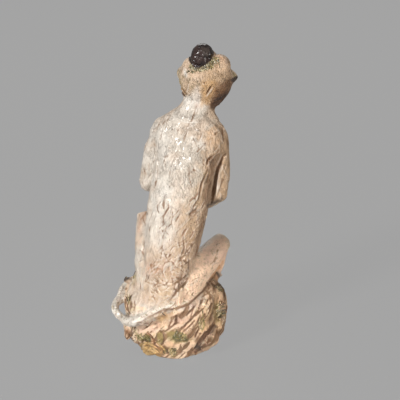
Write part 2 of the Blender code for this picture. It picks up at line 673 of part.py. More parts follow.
def add_strokes(figure, group):
    # Soft noise, stretched along the lean of the body, pushes the clay in and out.
    grain = bpy.data.objects.new("stroke_direction", None)
    group.objects.link(grain)
    grain.rotation_euler = SPINE.to_track_quat("Z", "Y").to_euler()
    grain.scale = (STROKE_WIDTH, STROKE_WIDTH, STROKE_LENGTH)
    bpy.context.view_layer.update()
    noise = bpy.data.textures.new("strokes", "CLOUDS")
    noise.noise_scale = 1.0
    noise.noise_depth = 1
    strokes = figure.modifiers.new("strokes", "DISPLACE")
    strokes.texture = noise
    strokes.texture_coords = "OBJECT"
    strokes.texture_coords_object = grain
    strokes.strength = STROKE_DEPTH
    strokes.mid_level = 0.5


def fuse(name, clay, group, cutter):
    # The forms become one skin of even cells, blended where they meet, and cut flat below.
    figure = bpy.data.objects.new(name, clay)
    group.objects.link(figure)
    remesh = figure.modifiers.new("fuse", "REMESH")
    remesh.mode = "VOXEL"
    remesh.voxel_size = CLAY_CELL
    remesh.use_smooth_shade = True
    blend = figure.modifiers.new("blend", "SMOOTH")
    blend.factor = 0.5
    blend.iterations = BLEND_PASSES

    add_strokes(figure, group)

    depsgraph = bpy.context.evaluated_depsgraph_get()
    skin = bpy.data.meshes.new_from_object(figure.evaluated_get(depsgraph))
    facets = sum(len(face.vertices) - 2 for face in skin.polygons)
    bpy.data.meshes.remove(skin)

    thin = figure.modifiers.new("facets", "DECIMATE")
    thin.ratio = min(1.0, FACET_BUDGET / facets)
    stand = figure.modifiers.new("stand", "BOOLEAN")
    stand.operation = "DIFFERENCE"
    stand.solver = "EXACT"
    stand.object = cutter
    return figure


def main():
    for leftover in list(bpy.data.objects):
        bpy.data.objects.remove(leftover)
    group = collection(COLLECTION_NAME)
    cutters = collection("cutters")
    forms = rock_core() + rock_ridges() + bark_strips() + rock_slabs() + leaves()
    forms += torso() + head() + arms() + legs() + tail()
    clay = gather("meerkat_sculpture", forms)
    figure = fuse("meerkat_sculpture", clay, group, stand_cutter(cutters))
    figure.data.materials.clear()
    figure.data.materials.append(glaze("cream_glaze", CREAM_GLAZE, GLAZE_ROUGHNESS))


main()
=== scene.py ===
# Looks of the stoneware meerkat: hand-tooled clay skin, dark glazed muzzle, leaves and moss on the boulder.
# Metres, +Z up. The animal faces -Y, its own right side is -X, and it stands on z = 0.

import math

import bmesh
import bpy
import numpy as np
from mathutils import Matrix, Vector
from mathutils.bvhtree import BVHTree
from mathutils.kdtree import KDTree


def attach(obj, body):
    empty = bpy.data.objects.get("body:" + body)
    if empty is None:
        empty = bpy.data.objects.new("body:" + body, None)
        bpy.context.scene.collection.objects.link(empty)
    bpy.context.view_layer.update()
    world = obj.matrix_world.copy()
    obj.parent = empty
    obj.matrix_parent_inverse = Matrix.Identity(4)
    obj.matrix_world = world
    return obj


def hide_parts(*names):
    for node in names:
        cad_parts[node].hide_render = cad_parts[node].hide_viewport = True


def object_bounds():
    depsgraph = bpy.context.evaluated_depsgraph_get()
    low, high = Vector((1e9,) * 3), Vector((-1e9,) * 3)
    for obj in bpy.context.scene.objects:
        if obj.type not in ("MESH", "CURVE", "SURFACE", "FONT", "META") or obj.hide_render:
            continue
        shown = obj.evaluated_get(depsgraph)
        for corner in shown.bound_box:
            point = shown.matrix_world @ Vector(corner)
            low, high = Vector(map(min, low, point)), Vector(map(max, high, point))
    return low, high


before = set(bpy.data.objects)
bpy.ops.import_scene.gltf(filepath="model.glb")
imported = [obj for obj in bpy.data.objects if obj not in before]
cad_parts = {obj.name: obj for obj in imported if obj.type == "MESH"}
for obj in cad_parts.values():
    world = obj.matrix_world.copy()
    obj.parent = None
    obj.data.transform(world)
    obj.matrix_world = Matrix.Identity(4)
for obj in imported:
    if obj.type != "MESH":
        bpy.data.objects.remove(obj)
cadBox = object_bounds()
print("frame loaded")

mm = 0.001

camera = {
    "azimuth": 198.0,  # degrees round the figure, 180 is straight behind it
    "elevation": 18.0,
    "distance": 2.4,
    "lens": 210.0,
    "sensor": 36.0,
    "aim": Vector((-24.5 * mm, -8.0 * mm, 158.3 * mm)),
    "frame": 400.0,  # pixels across and down
}


def unit(azimuth, elevation):
    # Direction with azimuth from +X towards +Y and elevation above the floor, in degrees.
    turn, rise = math.radians(azimuth), math.radians(elevation)
    return Vector((math.cos(turn) * math.cos(rise), math.sin(turn) * math.cos(rise), math.sin(rise)))


def addCamera():
    away = unit(camera["azimuth"] - 90, camera["elevation"])
    lens = bpy.data.cameras.new("camera")
    lens.lens, lens.sensor_width = camera["lens"], camera["sensor"]
    eye = bpy.data.objects.new("camera", lens)
    bpy.context.scene.collection.objects.link(eye)
    eye.location = camera["aim"] + away * camera["distance"]
    eye.rotation_euler = (-away).to_track_quat("-Z", "Y").to_euler()
    bpy.context.scene.camera = eye
    return away


towardsCamera = addCamera()
seenRight = Vector((0, 0, 1)).cross(towardsCamera).normalized()
seenUp = towardsCamera.cross(seenRight)


def sightLine(across, down):
    # Ray from the lens through a place on the photograph, counted in its pixels.
    half = camera["frame"] / 2
    reach = camera["sensor"] / camera["lens"] / camera["frame"]
    start = camera["aim"] + towardsCamera * camera["distance"]
    way = -towardsCamera + seenRight * ((across - half) * reach) + seenUp * ((half - down) * reach)
    return start, way.normalized()


def photoPlaces(points):
    # Where points fall on the photograph, in its pixels.
    offset = points - np.array(camera["aim"] + towardsCamera * camera["distance"])
    half = camera["frame"] / 2
    scale = camera["frame"] * camera["lens"] / camera["sensor"] / -(offset @ np.array(towardsCamera))
    return np.stack([half + offset @ np.array(seenRight) * scale, half - offset @ np.array(seenUp) * scale],
                    axis=1)


def insideBy(places, outline):
    # Distance of flat places from a closed outline's nearest side, positive inside by the even-odd rule.
    corners = np.array(outline, dtype=float)
    nearest = np.full(len(places), 1e9)
    crossings = np.zeros(len(places), dtype=int)
    for first, second in zip(corners, np.roll(corners, -1, axis=0)):
        side = second - first
        share = np.clip((places - first) @ side / (side @ side), 0, 1)
        nearest = np.minimum(nearest, np.linalg.norm(places - first - share[:, None] * side, axis=1))
        spans = (first[1] > places[:, 1]) != (second[1] > places[:, 1])
        slope = side[0] / (side[1] if abs(side[1]) > 1e-9 else 1e-9)
        crossings += spans & (places[:, 0] < first[0] + (places[:, 1] - first[1]) * slope)
    return np.where(crossings % 2 == 1, nearest, -nearest)


# Noise and mesh helpers

# Primes that spread the corners over a table of values.
hashing = {"x": 73856093, "y": 19349663, "z": 83492791, "table": 4096}


def latticeNoise(points, seed):
    # Random values at whole-number corners, blended with an eased step; from -1 to 1.
    values = np.random.default_rng(seed).uniform(-1, 1, hashing["table"])
    corner = np.floor(points).astype(np.int64)
    part = points - corner
    part = part * part * (3 - 2 * part)
    total = np.zeros(len(points))
    for dx in (0, 1):
        for dy in (0, 1):
            for dz in (0, 1):
                spot = (corner[:, 0] + dx) * hashing["x"] ^ (corner[:, 1] + dy) * hashing["y"]
                spot ^= (corner[:, 2] + dz) * hashing["z"]
                weight = np.prod(np.abs(1 - np.array((dx, dy, dz)) - part), axis=1)
                total += weight * values[spot & (hashing["table"] - 1)]
    return total


def layeredNoise(points, size, seed, layers=3):
    # Sum of lattice noise, each layer half as large and half as strong as the one before.
    total, strength = np.zeros(len(points)), 0.0
    for layer in range(layers):
        total += latticeNoise(points / size * 2 ** layer + 17.3 * layer, seed + layer) * 0.5 ** layer
        strength += 0.5 ** layer
    return total / strength


def eased(low, high, value):
    # 0 below low, 1 above high, a smooth step between.
    t = np.clip((value - low) / (high - low), 0, 1)
    return t * t * (3 - 2 * t)


def meshPoints(mesh):
    points = np.empty(len(mesh.vertices) * 3)
    mesh.vertices.foreach_get("co", points)
    return points.reshape(-1, 3)


def meshNormals(mesh):
    normals = np.empty(len(mesh.vertices) * 3)
    mesh.vertex_normals.foreach_get("vector", normals)
    return normals.reshape(-1, 3)


def meshFaces(mesh):
    return [tuple(face.vertices) for face in mesh.polygons]


def setPoints(mesh, points):
    mesh.vertices.foreach_set("co", points.ravel())
    mesh.update()


def meshEdges(mesh):
    edges = np.empty(len(mesh.edges) * 2, dtype=np.int64)
    mesh.edges.foreach_get("vertices", edges)
    return edges.reshape(-1, 2)


def neighbourMean(values, edges):
    # Mean of a value over the vertices that share an edge with each vertex.
    count = np.bincount(edges.ravel(), minlength=len(values))
    columns = []
    for column in values.reshape(len(values), -1).T:
        total = np.bincount(edges[:, 0], column[edges[:, 1]], len(values))
        total += np.bincount(edges[:, 1], column[edges[:, 0]], len(values))
        columns.append(total / np.maximum(count, 1))
    return np.stack(columns, axis=1).reshape(values.shape)


def smoothed(values, edges, passes, share=0.5):
    for _ in range(passes):
        values = values * (1 - share) + neighbourMean(values, edges) * share
    return values


def newPiece(name, mesh):
    piece = bpy.data.objects.new(name, mesh)
    bpy.context.scene.collection.objects.link(piece)
    mesh.polygons.foreach_set("use_smooth", np.ones(len(mesh.polygons), dtype=bool))
    return piece


def storeValues(mesh, name, values):
    layer = mesh.attributes.new(name, "FLOAT", "POINT")
    layer.data.foreach_set("value", np.asarray(values, dtype=np.float32))


# Shader maths

class Field:
    # A node socket with arithmetic; every sum, product or power adds a Math node.
    def __init__(self, tree, socket):
        self.tree, self.socket = tree, socket

    def number(self, operation, *values):
        return node(self.tree, "ShaderNodeMath", {"operation": operation}, dict(enumerate((self, *values))))

    def __add__(self, other):
        return self.number("ADD", other)

    def __sub__(self, other):
        return self.number("SUBTRACT", other)

    def __rsub__(self, other):
        return node(self.tree, "ShaderNodeMath", {"operation": "SUBTRACT"}, {0: other, 1: self})

    def __mul__(self, other):
        return self.number("MULTIPLY", other)

    def __pow__(self, other):
        return self.number("POWER", other)

    __radd__, __rmul__ = __add__, __mul__

    def clamped(self):
        made = self.number("ADD", 0.0)
        made.socket.node.use_clamp = True
        return made

    def stepped(self, low, high):
        # 0 below low and 1 above high, eased between.
        return node(self.tree, "ShaderNodeMapRange", {"interpolation_type": "SMOOTHSTEP"},
                    {"Value": self, "From Min": low, "From Max": high})


def setSocket(tree, socket, value):
    # A link from a field, or a plain value; a colour's three values get a fourth of 1.
    if isinstance(value, Field):
        tree.links.new(value.socket, socket)
    elif hasattr(socket.default_value, "__len__"):
        socket.default_value = (*value, 1.0)[:len(socket.default_value)]
    else:
        socket.default_value = value


def node(tree, kind, settings=None, sockets=None, output=0):
    # One node: its settings first, then a value or a link for each named or numbered socket.
    made = tree.nodes.new(kind)
    for name, value in (settings or {}).items():
        setattr(made, name, value)
    for name, value in (sockets or {}).items():
        setSocket(tree, made.inputs[name], value)
    return Field(tree, made.outputs[output])


def blendColours(tree, factor, first, second, mode="MIX"):
    return node(tree, "ShaderNodeMix", {"data_type": "RGBA", "blend_type": mode},
                {0: factor, 6: first, 7: second}, 2)


def noiseField(tree, scale, detail=3.0, stretch=(1, 1, 1), warp=0.0, shift=(0, 0, 0)):
    # Noise on object coordinates; scale is in cells a metre, warp bends the cells into swirls.
    place = node(tree, "ShaderNodeTexCoord", output=3)
    place = node(tree, "ShaderNodeMapping", None, {"Vector": place, "Scale": stretch, "Location": shift})
    return node(tree, "ShaderNodeTexNoise", None,
                {"Vector": place, "Scale": scale, "Detail": detail, "Distortion": warp})


def creaseField(tree, scale, width, warp=1.2, stretch=(1, 1, 1), shift=(0, 0, 0)):
    # Thin wandering lines, 1 along them: where a warped noise passes its middle value.
    away = (noiseField(tree, scale, 1.5, stretch, warp, shift) - 0.5).number("ABSOLUTE")
    return 1 - away.stepped(0, width)


def meshField(tree, name):
    return node(tree, "ShaderNodeAttribute", {"attribute_name": name}, None, 2)


def newMaterial(name):
    material = bpy.data.materials.new(name)
    material.use_nodes = True
    tree = material.node_tree
    return material, tree, tree.nodes["Principled BSDF"]


def plug(tree, shader, values):
    for name, value in values.items():
        setSocket(tree, shader.inputs[name], value)


# The figure's own lines: spine, head, limbs and tail, as the maker's armature would run.
# Lengths in millimetres, angles in degrees; they follow the solid.

armature = {
    "rockHeight": 70.0, "rockBelly": 36.0, "rockRadius": 51.5, "rockFootRadius": 39.0,
    "pelvis": (1.5, 22.5, 83.0), "leanForward": 10.2, "leanRight": 7.5, "torso": 175.5,
    "neck": 31.5, "neckForward": 5.0, "neckRight": 16.5,
    "headTilt": 23.0, "headYaw": 18.0, "headTurn": 7.0,
    "shoulderHalf": 30.5, "shoulderOffset": 3.0, "shoulderDrop": 23.0,
    "upperArm": 61.0, "forearm": 44.0, "thigh": 68.0, "hipHalf": 18.0, "hipDrop": 9.0,
    "arms": ((1, (17, -76), (219, -30)), (-1, (150, -89), (321, -33))),
    "legs": ((1, (295, 58), (308, 0.93)), (-1, (248, 27), (228, 0.93))),
    "tail": ((107, 0.95, 4), (95, 0.84, 5), (81, 0.71, 6), (64, 0.58, 7), (42, 0.53, 10), (22, 0.62, 12),
             (6, 0.68, 7), (-10, 0.73, 7), (-28, 0.76, 7), (-48, 0.70, 6), (-68, 0.62, 6)),
}


def leaning(forward, right):
    return Vector((-math.tan(math.radians(right)), -math.tan(math.radians(forward)), 1)).normalized()


def rockPoint(angle, share, out=0.0):
    # Superellipse of revolution round the boulder's belly, as in the solid; in metres.
    a = armature
    rise = share * a["rockHeight"] - a["rockBelly"]
    if rise > 0:
        reach, power = a["rockHeight"] - a["rockBelly"], 4.2
    else:
        power = 2.25
        reach = a["rockBelly"] / (1 - (a["rockFootRadius"] / a["rockRadius"]) ** power) ** (1 / power)
    radius = a["rockRadius"] * (1 - min(abs(rise) / reach, 1.0) ** power) ** (1 / power) + out
    turn = math.radians(angle)
    return Vector((radius * math.cos(turn), radius * math.sin(turn), share * a["rockHeight"])) * mm


def figureLines():
    # Segments (start, end, reach) of the armature, with the skull's place and its three directions.
    a = armature
    spine = leaning(a["leanForward"], a["leanRight"])
    side = (Vector((1, 0, 0)) - spine * spine.x).normalized()
    pelvis = Vector(a["pelvis"]) * mm
    nape = pelvis + spine * a["torso"] * mm
    skull = nape + leaning(a["neckForward"], a["neckRight"]) * a["neck"] * mm
    yaw, tilt, turn = (math.radians(a[name]) for name in ("headYaw", "headTilt", "headTurn"))
    pose = Matrix.Rotation(yaw, 3, "Z") @ Matrix.Rotation(-tilt, 3, "X") @ Matrix.Rotation(-turn, 3, "Z")
    earSide, crown, nose = (pose.col[index].copy() for index in range(3))
    lines = {"torso": [(pelvis, nape, 30 * mm)], "neck": [(nape, skull, 16 * mm)],
             "head": [(skull - nose * 22 * mm, skull + nose * 24 * mm, 26 * mm)], "arm": [], "leg": []}
    for sign, upper, lower in a["arms"]:
        shoulder = nape - spine * ((a["shoulderDrop"] + sign * 2) * mm)
        shoulder += side * ((sign * a["shoulderHalf"] + a["shoulderOffset"]) * mm)
        elbow = shoulder + unit(*upper) * a["upperArm"] * mm
        wrist = elbow + unit(*lower) * a["forearm"] * mm
        fingers = wrist + unit(*lower) * 14 * mm
        lines["arm"] += [(shoulder, elbow, 10 * mm), (elbow, wrist, 8 * mm), (wrist, fingers, 8 * mm)]
    for sign, thigh, stance in a["legs"]:
        hip = pelvis + Vector((sign * a["hipHalf"], 0, -a["hipDrop"])) * mm
        knee = hip + unit(*thigh) * a["thigh"] * mm
        ankle = rockPoint(*stance, 1.4)
        toes = ankle + unit(281, -8) * 26 * mm
        lines["leg"] += [(hip, knee, 14 * mm), (knee, ankle, 9 * mm), (ankle, toes, 7 * mm)]
    route = [pelvis - side * 10 * mm] + [rockPoint(angle, share, out) for angle, share, out in a["tail"]]
    lines["tail"] = [(start, end, 5.5 * mm) for start, end in zip(route, route[1:])]
    return lines, skull, (earSide, crown, nose), spine


figure, skull, headAxes, spineWay = figureLines()


def nearestLine(points):
    # For each point and family of segments: distance as a share of the reach, and the segment's direction.
    found = {}
    for name, segments in figure.items():
        best = np.full(len(points), 1e9)
        way = np.zeros((len(points), 3))
        for start, end, reach in segments:
            start, along = np.array(start), np.array(end - start)
            length = np.linalg.norm(along)
            place = np.clip((points - start) @ along / length ** 2, 0, 1)
            away = np.linalg.norm(points - start - place[:, None] * along, axis=1) / reach
            nearer = away < best
            best[nearer] = away[nearer]
            way[nearer] = along / length
        found[name] = (best, way)
    return found


# Clay skin: a fine even copy of the solid, worked over with modelling strokes

skinPlan = {
    "cell": 1.06 * mm,  # grid of the even copy
    "floorBand": 1.2 * mm,  # height over the floor that keeps the solid's shape
    "kept": 0.765,  # share of the triangles left after the hidden side is thinned
    "ironing": 5,  # smoothing passes over the solid's facets
    "lumps": 0.5 * mm,  # broad unevenness, its height and its size
    "lumpSize": 13 * mm,
    "margin": 0.02 * mm,  # kept inside the solid's box
    "hidden": -0.05,  # clay that faces the lens less than this is thinned
    "broad": 60,  # smoothing passes for the direction of the broad forms
}


def fineCopy(name):
    # Even mesh of the solid's surface: doubles merged, then rebuilt from small cells.
    welded = bmesh.new()
    welded.from_mesh(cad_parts[name].data)
    bmesh.ops.remove_doubles(welded, verts=welded.verts[:], dist=1e-6)
    coarse = bpy.data.meshes.new("coarse_clay")
    welded.to_mesh(coarse)
    welded.free()
    holder = bpy.data.objects.new("coarse_clay", coarse)
    bpy.context.scene.collection.objects.link(holder)
    cells = holder.modifiers.new("cells", "REMESH")
    cells.mode = "VOXEL"
    cells.voxel_size = skinPlan["cell"]
    bpy.context.view_layer.update()
    fine = bpy.data.meshes.new_from_object(holder.evaluated_get(bpy.context.evaluated_depsgraph_get()))
    bpy.data.objects.remove(holder)
    bpy.data.meshes.remove(coarse)
    return fine


skinMesh = fineCopy("meerkat_sculpture")
skinEdges = meshEdges(skinMesh)
ground = meshPoints(skinMesh)
floorBand = ground[:, 2] < skinPlan["floorBand"]
ironed = smoothed(ground, skinEdges, skinPlan["ironing"])
ironed[floorBand, 2] = ground[floorBand, 2]
setPoints(skinMesh, ironed)
print("skin", len(skinMesh.vertices), "points")


class Worktop:
    # The clay surface while it is being worked: its points, directions and what each stroke leaves on it.
    def __init__(self, mesh):
        self.points = meshPoints(mesh)
        self.normals = meshNormals(mesh)
        self.height = np.zeros(len(self.points))
        self.hollow = np.zeros(len(self.points))
        self.lip = np.zeros(len(self.points))
        self.tones = {}
        self.places = photoPlaces(self.points)
        self.facing = self.normals @ np.array(towardsCamera)
        self.washEdge = 1 + 0.45 * layeredNoise(self.points, 4 * mm, 77)
        self.patchEdge = 1.3 * layeredNoise(self.points, 5 * mm, 91)
        self.tree = KDTree(len(self.points))
        for index, point in enumerate(self.points):
            self.tree.insert(point, index)
        self.tree.balance()
        self.shape = BVHTree.FromPolygons(self.points.tolist(), meshFaces(mesh))

    def near(self, place, reach):
        return np.array([index for _, index, _ in self.tree.find_range(place, reach)], dtype=np.int64)

    def seen(self, across, down):
        # The clay under a place on the photograph: its point and normal.
        point, normal, _, _ = self.shape.ray_cast(*sightLine(across, down))
        return point, normal

    def stroke(self, place, way, outward, halfLength, halfWidth, depth, bend=0.0, lip=0.5, lump=0.25):
        # A groove with a bell-shaped section, a lip on each side and a lump of clay where the tool stopped.
        chosen = self.near(place, math.hypot(halfLength, 3 * halfWidth))
        if len(chosen) == 0:
            return
        facing = self.normals[chosen] @ outward
        offset = self.points[chosen] - place
        cross = np.cross(outward, way)
        along = offset @ way
        beside = offset @ cross - bend * along ** 2 / halfLength
        under = np.abs(offset @ outward)
        fade = eased(1.0, 0.55, np.abs(along) / halfLength) * eased(0.2, 0.7, facing)
        fade *= eased(3.0, 1.5, under / (halfWidth + 0.2 * halfLength))
        groove = np.exp(-(beside / halfWidth) ** 2)
        sides = np.exp(-((np.abs(beside) - 1.75 * halfWidth) / (0.75 * halfWidth)) ** 2)
        heap = np.exp(-((along - 0.9 * halfLength) / halfWidth) ** 2 - (beside / (1.3 * halfWidth)) ** 2)
        heap *= eased(0.2, 0.7, facing)
        self.height[chosen] += depth * (-groove * fade + lip * sides * fade + lump * heap)
        scale = depth / (0.6 * mm)
        self.hollow[chosen] += groove * fade * scale
        self.lip[chosen] += (sides * fade * lip + lump * heap) * scale

    def smear(self, place, way, outward, halfLength, halfWidth, rise, bend=0.0):
        # A flake of clay pressed on: it rises across its width to a sharp edge with a crease at its foot.
        chosen = self.near(place, math.hypot(halfLength, 1.7 * halfWidth))
        if len(chosen) == 0:
            return
        facing = self.normals[chosen] @ outward
        offset = self.points[chosen] - place
        along = offset @ way
        beside = (offset @ np.cross(outward, way) - bend * along ** 2 / halfLength) / halfWidth
        under = np.abs(offset @ outward)
        fade = eased(1.0, 0.5, np.abs(along) / halfLength) * eased(0.2, 0.7, facing)
        fade *= eased(3.0, 1.5, under / (halfWidth + 0.2 * halfLength))
        flake = np.clip((beside + 1) / 1.8, 0, 1) ** 1.3 * eased(1.25, 0.8, beside)
        foot = np.exp(-((beside - 1.25) / 0.3) ** 2)
        edge = np.exp(-((beside - 0.7) / 0.3) ** 2)
        self.height[chosen] += rise * fade * (flake - 0.25 * foot)
        self.hollow[chosen] += foot * fade * rise / (0.45 * mm)
        self.lip[chosen] += edge * fade * rise / (0.9 * mm)

    def alongLine(self, places, reach):
        # Distance of the clay from a line over it, and how far from the line's ends it is, 0 to 1.
        distance = np.full(len(self.points), 1e9)
        middle = np.zeros(len(self.points))
        places = np.array(places, dtype=float)
        if len(places) == 1:
            steps = places
        else:
            lengths = np.hypot(*np.diff(places, axis=0).T)
            marks = np.concatenate([[0], np.cumsum(lengths)])
            stops = np.linspace(0, marks[-1], max(3, int(marks[-1] / 0.6)))
            steps = np.stack([np.interp(stops, marks, places[:, axis]) for axis in (0, 1)], axis=1)
        for index, (across, down) in enumerate(steps):
            point, normal = self.seen(across, down)
            if point is None:
                continue
            chosen = self.near(point, reach)
            chosen = chosen[self.normals[chosen] @ np.array(normal) > 0.1]
            away = np.linalg.norm(self.points[chosen] - np.array(point), axis=1)
            closer = away < distance[chosen]
            chosen = chosen[closer]
            distance[chosen] = away[closer]
            share = index / max(len(steps) - 1, 1)
            swell = math.sin(math.pi * min(max(share, 0.08), 0.92)) ** 0.6
            middle[chosen] = 1 if len(steps) == 1 else swell
        return distance, middle

    def score(self, places, halfWidth, depth, stainAndShade=1.0, lip=0.5):
        # A groove over places on the photograph, thinner towards its ends; a negative depth is a ridge.
        distance, middle = self.alongLine(places, 3.6 * halfWidth * mm)
        width = halfWidth * mm * (0.55 + 0.45 * middle)
        groove = np.exp(-(distance / width) ** 2) * middle
        sides = np.exp(-((distance - 1.9 * width) / (0.75 * width)) ** 2) * middle
        if depth > 0:
            self.height += depth * mm * (lip * sides * 0.5 - groove)
            # The floor's brown is partly a wash, partly painted shade.
            self.hollow += stainAndShade * 1.6 * groove
            self.lip += lip * sides
        else:
            self.height += -depth * mm * groove
            self.lip += groove * 1.3
            self.hollow += 0.35 * sides

    def lay(self, tone, amount):
        # More of a glaze colour over what is there, painted shade included: what stays bare is the product
        # of what each layer leaves bare.
        self.tones[tone] = 1 - (1 - self.tones.get(tone, 0)) * (1 - amount)

    def wash(self, tone, places, radius, strength):
        # A thin wash of a glaze colour round places on the photograph, with an uneven edge; some washes are
        # painted shade and highlight.
        distance, _ = self.alongLine(places, 2.4 * radius * mm)
        amount = strength * np.exp(-(distance / (radius * mm * self.washEdge)) ** 2)
        self.lay(tone, np.clip(amount, 0, 1))

    def patch(self, tone, outline, soft, strength):
        # A wash inside an outline on the photograph, on clay that faces the lens; soft is its edge. Some
        # are painted shade, one a painted reflection.
        inside = insideBy(self.places, outline) + soft * self.patchEdge
        amount = strength * eased(-soft, soft, inside) * eased(-0.1, 0.12, self.facing)
        self.lay(tone, amount)


clay = Worktop(skinMesh)
near = nearestLine(clay.points)


def familyOf(points, found):
    # Distance of each point from each family of lines, and 1 where the clay is boulder, 0 where figure.
    names = ["torso", "neck", "head", "arm", "leg", "tail"]
    distances = np.stack([found[name][0] for name in names], axis=1)
    stony = eased(1.35, 1.7, distances.min(axis=1)) * (points[:, 2] < 80 * mm)
    low = points[:, 2] < 56 * mm
    off = np.minimum(found["tail"][0], np.minimum(found["leg"][0], found["torso"][0]))
    stony = np.maximum(stony, np.where(low, eased(1.25, 1.5, found["tail"][0]) * eased(1.0, 1.3, off), 0))
    return names, distances, stony


familyNames, familyDistances, stony = familyOf(clay.points, near)
rng = np.random.default_rng(41)

# The boulder's ridges climb at a slant, in degrees from level, and stand steeper on its left side.
boulderGrain = {"slant": 48, "steep": 88, "beyond": 25 * mm, "above": 40 * mm}


def flowAt(index):
    # Direction of the clay's grain at a point: along the nearest limb, slanting round the boulder.
    point, outward = clay.points[index], clay.normals[index]
    if stony[index] > 0.5:
        girth = np.cross((0.0, 0.0, 1.0), outward)
        if np.linalg.norm(girth) < 1e-6:
            girth = np.array((1.0, 0.0, 0.0))
        girth /= np.linalg.norm(girth)
        upright = point[0] > boulderGrain["beyond"] and point[2] > boulderGrain["above"]
        slant = math.radians(boulderGrain["steep" if upright else "slant"])
        way = girth * math.cos(slant) + np.array((0, 0, 1)) * math.sin(slant)
    else:
        family = familyNames[int(np.argmin(familyDistances[index]))]
        way = near[family][1][index].copy()
    way -= outward * (way @ outward)
    length = np.linalg.norm(way)
    if length < 1e-3:
        way = np.cross(outward, (1.0, 0.2, 0.1))
        length = np.linalg.norm(way)
    return way / length


def photoFlow(index, course):
    # Direction of a stroke that leans one way on the photograph, or runs round a middle there.
    outward = clay.normals[index]
    if isinstance(course, tuple):
        across, down = clay.places[index] - np.array(course)
        angle = math.atan2(-down, across) + math.pi / 2
    else:
        angle = math.radians(course)
    way = np.array(seenRight) * math.cos(angle) + np.array(seenUp) * math.sin(angle)
    way -= outward * (way @ outward)
    return way / np.linalg.norm(way)


def turned(way, outward, degrees):
    # A direction in the clay's surface, turned about the way out of it.
    angle = math.radians(degrees)
    return way * math.cos(angle) + np.cross(outward, way) * math.sin(angle)


rumpMiddle = (172, 277)
# By which stroke, how many, half length, half width and depth or rise in millimetres, scatter of direction
# in degrees and on which part. Where the strokes don't follow the limb, the last value is their lean on the
# photograph in degrees, or the place there that they circle.
strokePlan = (
    ("stroke", 200, (6, 12), (2.6, 4.2), (0.15, 0.4), 16, "body"),
    ("smear", 440, (5, 12), (1.6, 2.7), (0.2, 0.5), 22, "body"),
    ("smear", 190, (6, 13), (2.0, 3.1), (0.4, 0.75), 20, "body"),
    ("stroke", 330, (4, 9), (0.9, 1.4), (0.12, 0.36), 20, "body"),
    ("stroke", 260, (2.2, 4.5), (0.75, 0.95), (0.1, 0.3), 40, "body"),
    ("smear", 85, (5, 11), (1.7, 2.9), (0.3, 0.6), 13, "waist", 57),
    ("stroke", 42, (4, 9), (0.95, 1.4), (0.2, 0.5), 13, "waist", 57),
    ("smear", 130, (3.5, 7.5), (1.3, 2.2), (0.25, 0.52), 40, "rump", rumpMiddle),
    ("stroke", 90, (3, 6.5), (0.9, 1.25), (0.25, 0.5), 45, "rump", rumpMiddle),
    ("smear", 80, (3, 7), (1.1, 1.8), (0.25, 0.5), 45, "blades"),
    ("stroke", 70, (9, 16), (2.4, 3.8), (0.3, 0.8), 12, "rock"),
    ("smear", 260, (6, 13), (2.0, 3.6), (0.35, 0.9), 15, "rock"),
    ("stroke", 200, (5, 9), (1.1, 1.7), (0.2, 0.55), 20, "rock"),
    ("stroke", 320, (2.5, 5), (0.8, 1.1), (0.1, 0.35), 40, "rock"),
)

strokeAreas = {
    # Outlines on the photograph of the places worked over most.
    "waist": ((148, 216), (164, 200), (186, 196), (212, 200), (206, 222), (198, 244), (192, 260),
              (176, 262), (158, 258), (147, 250)),
    "rump": ((150, 262), (160, 256), (178, 252), (190, 256), (190, 272), (182, 286), (168, 302),
             (150, 300)),
    "blades": ((160, 116), (200, 116), (224, 126), (226, 150), (206, 168), (170, 172), (154, 150),
               (152, 128)),
}

# Marks of the tool and the fingers, each along places on the photograph (pixels across, down):
# half width and depth in millimetres, how brown its floor is, partly as painted shade, how high its lips
# stand.
backMarks = (
    (((168.2, 201.7), (168.6, 207.7), (166.5, 211), (164.2, 215), (160.5, 217.4)), 1.0, 1.8, 1.8, 0.6),
    (((179.6, 215), (176.9, 219), (174.9, 223)), 0.9, 1.3, 1.2, 0.7),
    (((186.5, 133.2), (184.2, 138.3), (183.6, 143.6)), 0.9, 1.0, 1.0, 0.4),
    (((177.9, 128.5), (177.7, 132.5)), 0.9, 0.9, 1.0, 0.5),
    (((218, 131.3), (213.9, 135.7)), 1.0, 1.2, 1.4, 0.5),
    (((206.2, 136.5), (206, 138.8)), 0.9, 1.0, 1.2, 0.3),
    (((205.6, 142.5), (205.7, 145)), 0.9, 1.0, 1.2, 0.3),
    (((222.2, 126.5), (222.2, 129.5)), 0.8, 0.8, 1.0, 0.3),
    (((215.2, 145), (213.8, 147.2), (215.2, 149.8), (217, 147.5)), 0.8, 0.7, 0.8, 0.5),
    (((174.2, 158), (173.3, 160.2)), 0.8, 0.8, 1.0, 0.8),
    (((178.5, 158.8), (179.3, 160.6)), 0.8, 0.8, 1.0, 0.8),
    (((195.4, 137), (192, 141), (189, 144)), 0.8, 0.6, 0.5, 0.9),
    (((189, 186.5), (189.1, 191)), 0.8, 0.8, 0.9, 0.3),
    (((172.9, 253.3), (169.5, 256), (166.2, 258.6)), 0.9, 1.1, 1.1, 0.5),
    (((163, 272.5), (162.5, 266.5), (165.5, 262), (171, 260.8), (174.5, 264)), 0.8, 0.7, 0.7, 0.3),
    (((148, 269.3), (152.1, 265.3)), 0.8, 0.8, 0.8, 0.5),
    (((155.5, 272.7), (158.8, 268.7), (162.2, 269.3)), 0.8, 0.9, 0.9, 0.5),
    (((170.2, 279.4), (164.8, 285.4)), 0.9, 1.0, 0.9, 0.5),
    (((158, 283), (153, 287)), 0.8, 0.7, 0.8, 0.5),
    (((161, 229), (163.5, 232)), 0.7, 0.7, 1.0, 0.5),
    (((166.5, 232.5), (168.5, 235)), 0.7, 0.7, 1.0, 0.5),
)
